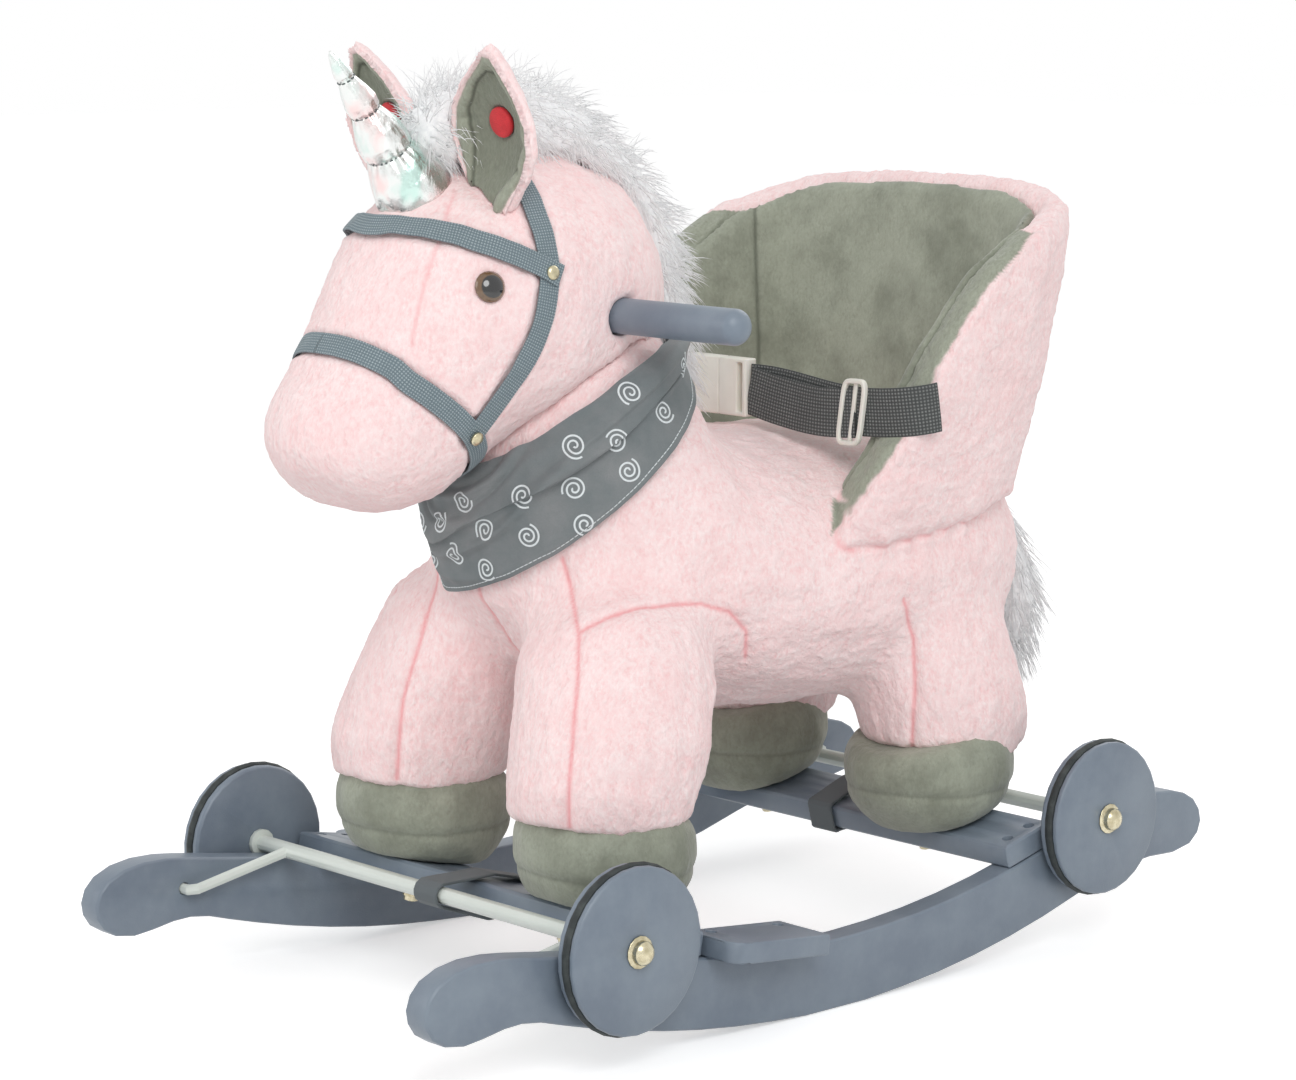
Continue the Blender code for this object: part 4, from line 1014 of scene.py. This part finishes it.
for group in groups_of(work, lambda a, b: a.material_index == b.material_index):
    if group[0].material_index in main:
        small.append(group)
    main.add(group[0].material_index)
for group in reversed(small):
    own = group[0].material_index
    beside = [f.material_index for one in group for e in one.edges for f in e.link_faces]
    beside = [index for index in beside if index != own]
    for face in group:
        face.material_index = max(sorted(set(beside)), key=beside.count)
put(work, skin.data)
modified(skin, "SUBSURF", levels=1, render_levels=1)
settle(skin)
co = points_of(skin)
out = normals_of(skin)
to_shell = read(skin.data.attributes["to_shell"].data, "value", 1, np.float32)
quads = read(skin.data.loops, "vertex_index", 1, np.int32).reshape(-1, 4)
labels = read(skin.data.polygons, "material_index", 1, np.int32)
is_leg = np.zeros(len(co))
is_leg[np.unique(quads[labels > 1])] = 1
pile = np.where(is_leg[:, None] > 0, (1.0, 1.0, 0.42), (1.0, 0.45, 0.8))
shift = 0.0016 * waves(co, RIPPLE_SCALE, 3.1) + 0.0008 * waves(co * pile, 120.0, 5.1)
shift += 0.0006 * waves(co * pile, 270.0, 7.7) + 0.0004 * waves(co * pile, 560.0, 1.3)
mark = np.zeros(len(co))
crease = np.zeros(len(co))
for line in [CHEST_SEAM] + LEG_SEAMS:
    apart = off_line(co, on_skin(skin_of(skin), line))
    crease = np.maximum(crease, bell(apart, 0.0032))
    mark = np.maximum(mark, 0.75 * bell(apart, THREAD_WIDE))
shift -= 0.0017 * crease
# The puckered seam between the seat's wall and the body
seat_seam = bell(to_shell, 0.0035)
around = np.arctan2(co[:, 0], co[:, 1] - 0.16)
pucker = np.sin(around * 46 + 2.5 * waves(co, 45.0, 9.0)) * bell(to_shell, 0.010)
shift += 0.0011 * pucker - 0.0020 * seat_seam
mark = np.maximum(mark, 0.55 * bell(to_shell, 0.0018) * (0.6 + 0.4 * np.clip(pucker, -1, 1)))
# The velour over the wings' front edges, with the plush standing over its border
line_y = np.interp(co[:, 2], [z for y, z in WING_LINE], [y for y, z in WING_LINE])
inside = line_y - co[:, 1] + 0.0012 * waves(co, 150.0, 4.0)
WING_X = 0.082
WING_Z = (0.268, 0.448)
wing = (np.abs(co[:, 0]) > WING_X) & (co[:, 2] > WING_Z[0]) & (co[:, 2] < WING_Z[1]) & (to_shell < 0.006)
reach = np.clip((0.0030 - to_shell) / 0.0012 + 0.5, 0, 1)
turned_in = np.clip(-6 * out[:, 0] * np.sign(co[:, 0]), 0, 1)
lining = np.where(wing, np.maximum(np.clip(inside / 0.0012 + 0.5, 0, 1), turned_in) * reach, 0.0)
shift += np.where(wing, 0.0012 * bell(inside + 0.004, 0.003) - 0.0010 * bell(inside, 0.0016), 0.0)
co = co + out * shift[:, None]
# The belts' sewn ends lie in the plush
UNDER_BELT = 0.0016
for line in (left_belt, right_belt):
    tree = KDTree(len(line))
    for k, point in enumerate(line):
        tree.insert(point * IN_PLAN, k)
    tree.balance()
    for i in np.nonzero((np.abs(co[:, 2] - BELT_Z) < 0.030) & (co[:, 1] < 0.115))[0]:
        here = Vector(co[i])
        _, k, apart = tree.find(here * IN_PLAN)
        if apart > 0.009 or k < 20:
            continue
        ahead = line[min(k + 1, len(line) - 1)] - line[max(k - 1, 0)]
        away = Vector((ahead.y, -ahead.x, 0)).normalized()
        if away.dot(line[k] - Vector((0, 0.16, BELT_Z))) < 0:
            away = -away
        over = (here - line[k]).dot(away) + UNDER_BELT
        edge = abs(here.z - line[k].z) - BELT_W / 2
        share = step_down(edge - 0.0022, 0.0009)
        if over > 0:
            co[i] -= np.array(away) * over * share
move_points(skin, co)
out = normals_of(skin)
skin_marks = {"seam_and_painted_shade": mark, "lining": lining}
for label, node in enumerate(SEWN):
    look = EAR if node in ("seat_shell", "body") else PINK
    ride(part_of(f"plush_{node}", co, quads[labels == label], out, skin_marks, look), node, node)
bpy.data.objects.remove(skin)

SNOUT_SEAM = [
    (0.0274, -0.1863, 0.4827), (0.0341, -0.1978, 0.4711), (0.0407, -0.2084, 0.4562),
    (0.0439, -0.2220, 0.4348), (0.0459, -0.2303, 0.4130), (0.0468, -0.2341, 0.3994),
]
FACE_SEAMS = [SNOUT_SEAM, [(-x, y, z) for x, y, z in SNOUT_SEAM]]
stuffed(
    "plush_head", "head", PINK, quick_voxel(0.0032), 8, 0.0014, 0.0005,
    [on_skin(head_skin, s) for s in FACE_SEAMS], press=pressed, seam_deep=0.0009, seam_mark=0.4,
)
HOOF_SEAM = Vector((0.054, 0.060, 0.028))
for end in ENDS:
    for side, _ in SIDES:
        node = f"{end}_{side}_hoof"
        low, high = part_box(node)
        middle = (low + high) / 2
        hoof_skin = tree_of(node)
        rim = []
        for k in range(37):
            angle = math.radians(10 * k)
            x = middle.x + HOOF_SEAM.x * math.cos(angle)
            y = middle.y + HOOF_SEAM.y * math.sin(angle)
            rim.append(tuple(hoof_skin.find_nearest(Vector((x, y, low.z + HOOF_SEAM.z)))[0]))
        stuffed(
            f"velour_{node}", node, SAGE, quick_voxel(0.0026), 10, 0.0012, 0.00025, [rim],
            seam_deep=0.0009, filled=True, seam_mark=0.35,
        )

# Bucket seat: a velour lining with two upright seams
lining_skin = tree_of("seat_lining")
LINING_SEAM = [(0.118, 0.190, 0.462), (0.107, 0.181, 0.40), (0.094, 0.172, 0.33)]
lining = stuffed(
    "velour_seat_lining", "seat_lining", SAGE, quick_voxel(0.0028), 5, 0.0012, 0.0002,
    [on_skin(lining_skin, [(sign * x, y, z) for x, y, z in LINING_SEAM]) for _, sign in SIDES],
    seam_deep=0.0014,
)

# Ears: a plush back and rim round a velour cup
EAR_BASE = Vector((0.040, -0.166, 0.472))
EAR_TIP = Vector((0.061, -0.188, 0.567))
EAR_HALF = [(0, 13), (12, 20), (24, 28), (40, 33.5), (56, 32), (72, 24), (85, 13.5), (93, 6), (98, 1)]
EAR_RIM = 0.0045
# Pleats of the cup: the angle where each lies and its width, in radians
EAR_PLEATS = ((0.0, 0.10), (1.75, 0.11), (-1.55, 0.12), (3.05, 0.10), (2.4, 0.07))
for side, sign in SIDES:
    ear = stuffed(f"plush_{side}_ear", f"{side}_ear", EAR, quick_voxel(0.0015), 5, 0.0006, 0.0003)
    base = EAR_BASE * Vector((sign, 1, 1))
    tip = EAR_TIP * Vector((sign, 1, 1))
    up = (tip - base).normalized()
    face = Vector((0.10 * sign, -1.0, 0.0))
    face = (face - up * face.dot(up)).normalized()
    across = up.cross(face)
    co = points_of(ear)
    out = normals_of(ear)
    from_base = co - np.array(base)
    height = from_base @ np.array(up)
    side_way = from_base @ np.array(across)
    wide = np.abs(side_way)
    half = np.interp(height, [h * MM for h, w in EAR_HALF], [w * MM for h, w in EAR_HALF])
    turned_front = out @ np.array(face)
    room = np.minimum(half - EAR_RIM - wide, (0.0915 - height) * 0.7)
    room = np.where(turned_front > 0.05, room, -0.01)
    attribute(ear, "lining", np.clip(room / 0.0008 + 0.5, 0, 1))
    front = (turned_front > 0.05) & (room > -0.002)
    angle = np.arctan2(side_way, height - 0.048)
    pocket = room - 0.0066 - 0.0016 * np.sin(angle * 3 + 1.1 * sign) - 0.0010 * np.sin(angle * 5)
    band = step_down(pocket, 0.0009)
    shift = np.where(front, 0.0032 * band, 0.0)
    shift -= np.where(front, 0.0016 * bell(room, 0.0012), 0.0)
    for at, wide in EAR_PLEATS:
        turn_off = np.abs((angle - at * sign + math.pi) % (2 * math.pi) - math.pi)
        shift -= np.where(front, 0.0022 * bell(turn_off, wide) * bell(pocket + 0.001, 0.004), 0.0)
    move_points(ear, co + out * shift[:, None])
    # Painted shade: the seam mark darkens the cup's fold edge strongly and the hollow inside it more lightly,
    # standing in for the shade of the deep cup
    fold_painted_shade = np.where(front, 0.95 * bell(pocket - 0.0006, 0.0012), 0.0)
    attribute(ear, "seam_and_painted_shade", np.maximum(fold_painted_shade, np.where(front, 0.45 * step_down(-pocket, 0.0012), 0.0)))

# Horn: foil fabric gathered by three rows of stitches. Rows are distance along it and radius, in mm
HORN_BASE = Vector((0, -0.189, 0.474))
HORN_TIP = Vector((0, -0.2535, 0.5615))
HORN = [
    (0, 22.6), (9, 23), (21, 21), (31, 17.4), (36, 14.6), (38, 13.2), (40, 14.2), (46, 15), (54, 13.4),
    (61, 10.8), (64.5, 9), (66, 8.2), (68, 9.1), (73, 9.7), (79, 8.2), (85.5, 6.2), (88, 5.2), (90, 5),
    (92, 5.5), (96, 5.0), (102, 3.4), (106, 1.9), (108, 0.7),
]
HORN_SEAMS = (38, 66, 89)
way = (HORN_TIP - HORN_BASE).normalized()
to_front = way.cross(ACROSS).normalized()
rows = []
HORN_ROUND = 96


def horn_radius(at):
    return np.interp(at, *zip(*HORN))


def round_horn(angle):
    return ACROSS * math.cos(angle) + to_front * math.sin(angle)


for i in range(217):
    d = i / 2
    radius = horn_radius(d)
    row = []
    for k in range(HORN_ROUND):
        angle = 2 * math.pi * k / HORN_ROUND
        gather = 0.0
        for n, at in enumerate(HORN_SEAMS):
            fold = (15 - 3 * n) * angle + 1.3 * n + 0.6 * math.sin(3 * angle)
            gather += math.exp(-abs(d - at) / (5.0 - n)) * math.cos(fold)
        where = Vector((math.cos(angle) * 2.2, math.sin(angle) * 2.2, d * 0.06))
        dent = 0.040 * noise.noise(where) + 0.022 * noise.noise(where * 2.7)
        r = radius * (1 + 0.055 * gather * min(1.0, radius / 8) + dent) * MM
        row.append(HORN_BASE + way * (d * MM) + round_horn(angle) * r)
    rows.append(row)
horn = grid("foil_horn", rows, FOIL)
smooth(horn)
ride(horn, "horn", "horn")
stitches = []
for at in HORN_SEAMS:
    radius = (horn_radius(at) + 0.35) * MM
    count = int(radius * 2 * math.pi / 0.0034)
    for k in range(count):
        arc = []
        outs = []
        for i in range(5):
            out = round_horn(2 * math.pi * (k + 0.6 * i / 4) / count)
            arc.append(HORN_BASE + way * (at * MM) + out * radius)
            outs.append(out)
        stitches.append(webbing("stitch", arc, outs, 0.0007, 0.0005, GREY_THREAD, across=4))
ride(joined("horn_stitches", stitches), "horn")

# Mane and tail: a dense ground of pile with long strands
mane = stuffed("shag_mane", "mane", SHAG, quick_voxel(0.0034), 6, 0.003, 0.0016)
tail = stuffed("shag_tail", "tail", SHAG, quick_voxel(0.0030), 6, 0.003, 0.0016)
MANE_FILL = 0.0022
move_points(mane, points_of(mane) + normals_of(mane) * MANE_FILL)
MANE_STRANDS = 5000
TAIL_STRANDS = 2200


def shag(name, core, node, count, flow, length, spread_by, seed, droop=0.7):
    """Long pile that grows from a core, in clumps that lie roughly one way."""
    roots, out, rng = scatter(core, count, seed)
    clump = np.stack([waves(roots, 70.0, 11.0 * i + seed) for i in range(3)], axis=1)
    way = out * 0.75 + flow(roots) + clump * spread_by + rng.normal(size=roots.shape) * 0.22
    long = length * (0.65 + 0.5 * rng.random(count)) * (1 + 0.25 * clump[:, 0])
    wide = 0.0010 * (0.7 + 0.5 * rng.random(count))
    made = strands(name, roots - out * 0.001, way, long, wide, SHAG, droop, seed)
    # Fine pale hairs let light through, so they cast no shadow on each other
    made.visible_shadow = False
    ride(made, node)
    return made


def mane_flow(at):
    """Down and back along the crest."""
    share = np.clip((at[:, 1] + 0.19) / 0.2, 0, 1)[:, None]
    return np.array((0.0, 0.35, 0.10)) * (1 - share) + np.array((0.0, 0.10, -0.55)) * share


def tail_flow(at):
    return np.tile((0.0, 0.15, -1.5), (len(at), 1))


shag("shag_mane_strands", mane, "mane", MANE_STRANDS, mane_flow, 0.021, 0.8, 5)
shag("shag_tail_strands", tail, "tail", TAIL_STRANDS, tail_flow, 0.030, 0.6, 8, droop=0.4)


# Neck scarf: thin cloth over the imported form, with a rolled top, sewn hem and a print of loose spirals
SCARF_MIDDLE = Vector((0, -0.0845, 0.307))
TO_BACK = Vector((0, 0.683, 0.730))
TO_HEAD = Vector((0, -0.730, 0.683))
SCARF_T = 0.0009
scarf_tree = tree_of("scarf")
SCARF_FROM = 101
SCARF_TO = 439
TURNS = 340
STEPS = 72


def scarf_hit(angle, height):
    out = ACROSS * math.cos(angle) + TO_BACK * math.sin(angle)
    start = SCARF_MIDDLE + TO_HEAD * height
    return scarf_tree.ray_cast(start + out * 0.3, -out, 0.3)[0]


def level(values, passes):
    """Rows evened out along the strip, with its two ends held."""
    for _ in range(passes):
        fresh = values.copy()
        fresh[1:-1] = (values[:-2] + values[2:] + 2 * values[1:-1]) / 4
        values = fresh
    return values


turn_at = np.linspace(SCARF_FROM, SCARF_TO, TURNS)
edges = []
for turn in turn_at:
    found = [h for h in np.arange(-12, 72, 0.5) if scarf_hit(math.radians(turn), h * MM) is not None]
    edges.append((found[0] * MM, found[-1] * MM))
edges = level(np.array(edges), 4)
skin = np.empty((TURNS, STEPS, 3))
for k, turn in enumerate(turn_at):
    low, high = edges[k]
    missed = []
    for j in range(STEPS):
        hit = scarf_hit(math.radians(turn), low + (high - low) * (0.01 + 0.98 * j / (STEPS - 1)))
        if hit is None:
            missed.append(j)
        else:
            skin[k, j] = hit
    good = [j for j in range(STEPS) if j not in missed]
    for j in missed:
        skin[k, j] = skin[k, min(good, key=lambda g: abs(g - j))]
skin = level(skin, 10)
for _ in range(6):
    skin[:, 1:-1] = (skin[:, :-2] + skin[:, 2:] + 2 * skin[:, 1:-1]) / 4
ahead = np.gradient(skin, axis=0)
upward = np.gradient(skin, axis=1)
out = np.cross(ahead, upward)
out /= np.maximum(np.linalg.norm(out, axis=2), 1e-9)[:, :, None]
if np.sum(out[:, STEPS // 2] * (skin[:, STEPS // 2] - np.array(SCARF_MIDDLE))) < 0:
    out = -out
upward /= np.maximum(np.linalg.norm(upward, axis=2), 1e-9)[:, :, None]
tall = np.linalg.norm(skin[:, -1] - skin[:, 0], axis=1)[:, None]
rise_at = np.linspace(0, 1, STEPS)[None, :]
from_point = (turn_at - 252)[:, None]
# The rolled top hangs over the cloth below it, and slanting folds run off it
ROLL_HIGH = 0.0050
roll_line = 0.60 + 0.05 * np.sin(np.radians(from_point * 2.0)) - 0.10 * bell(from_point, 22)
above = (rise_at - roll_line) * tall
shift = ROLL_HIGH * step_down(-above, 0.0008) * np.exp(-np.maximum(above, 0) / 0.018)
sink = -0.0034 * bell(above - 0.0016, 0.0022)
FOLD_DEPTH = 1.5
FOLDS = [
    (0.38, 0.0030, 0.0021, 0.0036), (0.86, 0.0012, 0.0016, 0.0024), (0.20, -0.0020, 0.0013, 0.0042),
    (0.74, -0.0016, 0.0015, 0.0020), (0.94, 0.0006, -0.0012, 0.0016), (0.66, 0.0034, -0.0012, 0.0016),
]
for rise, slope, high, wide in FOLDS:
    away = (rise_at - rise - slope * from_point + 0.06 * np.sin(np.radians(3 * from_point))) * tall
    shift = shift + FOLD_DEPTH * high * bell(away, wide)
flat = skin.reshape(-1, 3)
ripple = waves(flat, 40.0, 5.5) + 0.5 * waves(flat, 95.0, 2.5)
shift = shift + 0.0013 * ripple.reshape(TURNS, STEPS) - 0.0010
room = np.clip(np.minimum(np.arange(TURNS), TURNS - 1 - np.arange(TURNS)) / 14, 0, 1)[:, None]
shift = shift * room
outer = skin + out * shift[:, :, None] + upward * (sink * room)[:, :, None]
hem_thick = SCARF_T * (1 + 0.8 * bell(rise_at * tall, 0.0035))
inner = outer - out * hem_thick[:, :, None]
scarf = grid("cloth_scarf", list(np.concatenate([outer, inner[:, ::-1]], axis=1)), CLOTH)
smooth(scarf, 60)
ride(scarf, "scarf", "scarf")
scarf_skin = skin_of(scarf)


def scarf_at(turn, rise):
    """A point on the scarf's face from degrees round and a share of its height."""
    k = (turn - SCARF_FROM) / (SCARF_TO - SCARF_FROM) * (TURNS - 1)
    j = rise * (STEPS - 1)
    k0 = min(int(k), TURNS - 2)
    j0 = min(int(j), STEPS - 2)
    u = k - k0
    v = j - j0
    a, b = outer[k0, j0:j0 + 2] * (1 - u) + outer[k0 + 1, j0:j0 + 2] * u
    return Vector(a * (1 - v) + b * v), Vector(out[k0, j0])


# Each spiral's middle, in degrees round and a share of the scarf's height, and the angle where it starts
SPIRALS = [
    (250, 0.20, 0), (246, 0.52, 70), (268, 0.36, 200), (262, 0.66, 130), (284, 0.16, 40), (290, 0.52, 300),
    (280, 0.78, 90), (308, 0.30, 160), (316, 0.68, 20), (330, 0.10, 260), (336, 0.45, 110), (350, 0.80, 210),
    (357, 0.22, 330), (363, 0.55, 60), (382, 0.85, 150), (386, 0.35, 240), (408, 0.55, 10), (420, 0.15, 190),
    (228, 0.35, 280), (222, 0.75, 30), (200, 0.40, 140), (180, 0.70, 250), (165, 0.30, 80), (140, 0.60, 170),
    (118, 0.45, 310),
]
SPIRAL_R = 0.0072
SPIRAL_TURNS = 2.15
LINE_W = 0.00115
prints = []
for turn, rise, start in SPIRALS:
    middle, normal = scarf_at(turn, rise)
    right = normal.orthogonal().normalized()
    top = normal.cross(right)
    runs = [[]]
    for k in range(61):
        t = k / 60
        angle = math.radians(start) + 2 * math.pi * SPIRAL_TURNS * t
        r = SPIRAL_R * (0.10 + 0.90 * t ** 0.9)
        aim = middle + right * (r * math.cos(angle)) + top * (r * math.sin(angle))
        hit = scarf_skin.ray_cast(aim + normal * 0.012, -normal, 0.020)
        if hit[0] is None or hit[1].dot(normal) < 0.2:
            runs.append([])
        else:
            runs[-1].append((hit[0] + hit[1] * 0.00012, hit[1]))
    for run in runs:
        if len(run) > 3:
            prints.append(webbing("spiral", *zip(*run), LINE_W, 0.0003, WHITE_THREAD, across=2))
spirals = joined("scarf_spirals", prints)
ride(spirals, "scarf")
dash = []
for k in range(2 * TURNS - 1):
    turn = SCARF_FROM + (SCARF_TO - SCARF_FROM) * k / (2 * TURNS - 2)
    low_edge, _ = scarf_at(turn, 0.0)
    high_edge, _ = scarf_at(turn, 1.0)
    here, normal = scarf_at(turn, 0.0032 / max((high_edge - low_edge).length, 0.012))
    dash.append(here + normal * 0.00010)
sewing = even(dash, 0.0008)
stitches = []
for k in range(0, len(sewing) - 4, 4):
    part = sewing[k:k + 4]
    outs = [scarf_skin.find_nearest(p)[1] for p in part]
    stitches.append(webbing("stitch", part, outs, 0.0005, 0.0004, WHITE_THREAD, across=2))
hem_stitches = joined("scarf_hem_stitches", stitches)
ride(hem_stitches, "scarf")

# Headstall bands and rivets over the pressed plush
nose = webbing("webbing_noseband", nose_path, nose_outs, BAND_W, BAND_T, WEB, closed=True)
cheek = webbing("webbing_cheek_straps", cheek_path, cheek_outs, BAND_W, BAND_T, WEB)
brow = webbing("webbing_browband", brow_path, brow_outs, BAND_W, BAND_T, WEB)
for piece in (nose, cheek, brow):
    ride(piece, "bridle")
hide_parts("bridle")
RIVETS = [(0.0700, -0.1530, 0.4365), (0.0470, -0.1955, 0.3475)]
DOME = [
    (-0.0010, 0.0040), (0.0002, 0.0041), (0.0008, 0.0036), (0.0013, 0.0028), (0.0016, 0.0016),
    (0.0017, 0.0004),
]
rivets = []
for side, sign in SIDES:
    for at in RIVETS:
        here, normal, _, _ = head_skin.find_nearest(Vector(at) * Vector((sign, 1, 1)))
        rivets.append(turned("rivet", DOME, here + normal * 0.0044, normal, PLATED, 28))
rivets = joined("bridle_rivets", rivets)
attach(rivets, NODES["bridle"]["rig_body"])

# Hook-and-loop straps and the lap belt
for end in ENDS:
    stuffed(f"webbing_{end}_strap", f"{end}_strap", STRAP, quick_voxel(0.0008), 1)


def slack(piece, *replaced):
    if replaced:
        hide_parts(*replaced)
    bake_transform(piece)


def belting(name, line, outs):
    return webbing(name, line, outs, BELT_W, BELT_T, BELT, across=12)


slack(belting("webbing_left_belt", left_belt, left_outs), "left_belt")
ride(belting("webbing_right_belt", right_belt, right_outs), "right_belt", "right_belt")
# Doubled webbing between the buckle and the slider
doubled = even(curved([
    (0.0150, 0.0580, BELT_Z - 0.0012), (0.040, 0.0598, BELT_Z - 0.0062), (0.070, 0.0622, BELT_Z - 0.0098),
    (0.0975, 0.0668, BELT_Z - 0.0092),
]), PATH_STEP)
SLIDER_OUT = Vector((0.10, -1, 0)).normalized()
slack(belting("webbing_belt_return", doubled, [SLIDER_OUT] * len(doubled)))

# Slider: a moulded loop that holds the doubled webbing
SLIDER_AT = Vector((0.0960, 0.0666, BELT_Z - 0.0085))
slider_side = UP.cross(SLIDER_OUT).normalized()
SLIDER_LEAN = 0.14
slider_up = (UP + slider_side * SLIDER_LEAN).normalized()
path = []
for k in range(48):
    angle = 2 * math.pi * k / 48
    c, d = (math.copysign(abs(v) ** 0.35, v) for v in (math.cos(angle), math.sin(angle)))
    path.append(SLIDER_AT + slider_side * (0.0080 * c) + slider_up * (0.0192 * d) + SLIDER_OUT * 0.0012)
outs = [SLIDER_OUT] * len(path)
slider = webbing("belt_slider_frame", path, outs, 0.0030, 0.0040, PLASTIC, closed=True, across=4)
path = even([SLIDER_AT - slider_up * 0.0185, SLIDER_AT + slider_up * 0.0185], 0.002)
bar = webbing("bar", path, [SLIDER_OUT] * len(path), 0.0030, 0.0024, PLASTIC, across=4)
slider = joined("belt_slider", [slider, bar])
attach(slider, NODES["left_belt"]["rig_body"])


# Rigid pieces: the solids themselves, with broken edges
EDGE_ROUND = 0.0006
FLAT_WITHIN = math.radians(0.6)
SHARP_OVER = math.radians(38)


def dressed(node):
    mesh = welded(node)
    work = taken(mesh)
    bmesh.ops.dissolve_limit(work, angle_limit=FLAT_WITHIN, verts=work.verts, edges=work.edges)
    piece = linked(node + "_finished", put(work, mesh), LOOKS[SLOT_OF[node]])
    modified(
        piece, "BEVEL", width=EDGE_ROUND, segments=2, limit_method="ANGLE", angle_limit=SHARP_OVER,
    )
    settle(piece)
    smooth(piece, 30)
    ride(piece, node, node)


for node in NODES:
    if SLOT_OF[node] in LOOKS and node != "handle":
        dressed(node)

# Handle: a round bar with domed ends
low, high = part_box("handle")
middle = (low + high) / 2
radius = (high.z - low.z) / 2
half = (high.x - low.x) / 2
DOME_LONG = 0.80
profile = []
for k in range(13):
    angle = math.pi / 2 * k / 12
    along = -half + DOME_LONG * radius * (1 - math.sin(angle))
    profile.append((along, max(radius * math.cos(angle), 0.0002)))
profile = profile[::-1]
profile = profile + [(-x, r) for x, r in profile[::-1]]
bar = turned("handle_finished", profile, middle, ACROSS, PAINT, 64)
smooth(bar, 60)
ride(bar, "handle", "handle")

EYE_R = 0.0095
for side, _ in SIDES:
    node = f"{side}_eye"
    piece = linked(node + "_finished", welded(node), EYE)
    co = points_of(piece)
    middle = (co.max(0) + co.min(0)) / 2
    attribute(piece, "ring", np.linalg.norm(co - middle, axis=1) / EYE_R)
    smooth(piece)
    ride(piece, node, node)


# Floor, light and camera
def seen_directly(tree):
    """1 for rays from the camera, and for what gloss and glass show."""
    rays = add(tree, "ShaderNodeLightPath").outputs
    seen = rays["Is Camera Ray"]
    for other in ("Is Glossy Ray", "Is Transmission Ray"):
        seen = add(tree, "ShaderNodeMath", [(0, seen), (1, rays[other])], operation="MAXIMUM").outputs[0]
    return seen


FLOOR_GREY = (0.86, 0.86, 0.86, 1.0)
FLOOR_GLOW = 0.46
FLOOR_HALF = 12.0
FLOOR_Z = -0.0002


def floor_look():
    made, tree, shader = blank("floor_look", 0.9)
    tint(shader, mix(grain(tree, 3, 2.0, 0.5), FLOOR_GREY, darker(FLOOR_GREY, 0.98)))
    shader.inputs["Emission Color"].default_value = (1, 1, 1, 1)
    set_from(shader, "Emission Strength", spread(seen_directly(tree), 0.0, 1.0, 0.0, FLOOR_GLOW))
    return made


mesh = bpy.data.meshes.new("floor")
corners = [(x * FLOOR_HALF, y * FLOOR_HALF, FLOOR_Z) for x, y in ((-1, -1), (1, -1), (1, 1), (-1, 1))]
mesh.from_pydata(corners, [], [(0, 1, 2, 3)])
floor = linked("floor", mesh, floor_look())
floor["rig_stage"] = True

world = bpy.data.worlds.new("studio")
bpy.context.scene.world = world
world.use_nodes = True
tree = world.node_tree
back = tree.nodes["Background"]
back.inputs["Color"].default_value = (1, 1, 1, 1)
WORLD_LEVEL = 0.62
tree.links.new(spread(seen_directly(tree), 0.0, 1.0, WORLD_LEVEL, 1.0), back.inputs["Strength"])


LIT_POINT = Vector((0, 0, 0.25))


def lamp(name, where, size, watts):
    data = bpy.data.lights.new(name, "AREA")
    data.shape = "DISK"
    data.size = size
    data.energy = watts
    made = shown(name, data)
    made.location = where
    made.rotation_euler = (LIT_POINT - Vector(where)).to_track_quat("-Z", "Y").to_euler()


lamp("key", (1.9, -1.2, 1.8), 1.4, 26)
lamp("fill", (-1.2, -2.2, 1.2), 1.6, 10)
lamp("rim", (-0.6, 2.0, 1.8), 1.4, 10)

CAMERA_AT = (1.632, -1.502, 0.603)
CAMERA_RIGHT = Vector((0.674, 0.739, 0.0))
CAMERA_UP = Vector((-0.113, 0.103, 0.988))
LENS = 101.43
data = bpy.data.cameras.new("camera")
data.sensor_width = 36.0
data.lens = LENS
data.clip_end = 50
camera = shown("camera", data)
right = CAMERA_RIGHT.normalized()
back_way = right.cross(CAMERA_UP).normalized()
up = back_way.cross(right)
turn = Matrix((right, up, back_way)).transposed()
camera.matrix_world = Matrix.Translation(CAMERA_AT) @ turn.to_4x4()
bpy.context.scene.camera = camera
bpy.context.scene.view_settings.view_transform = "Standard"

low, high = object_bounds()
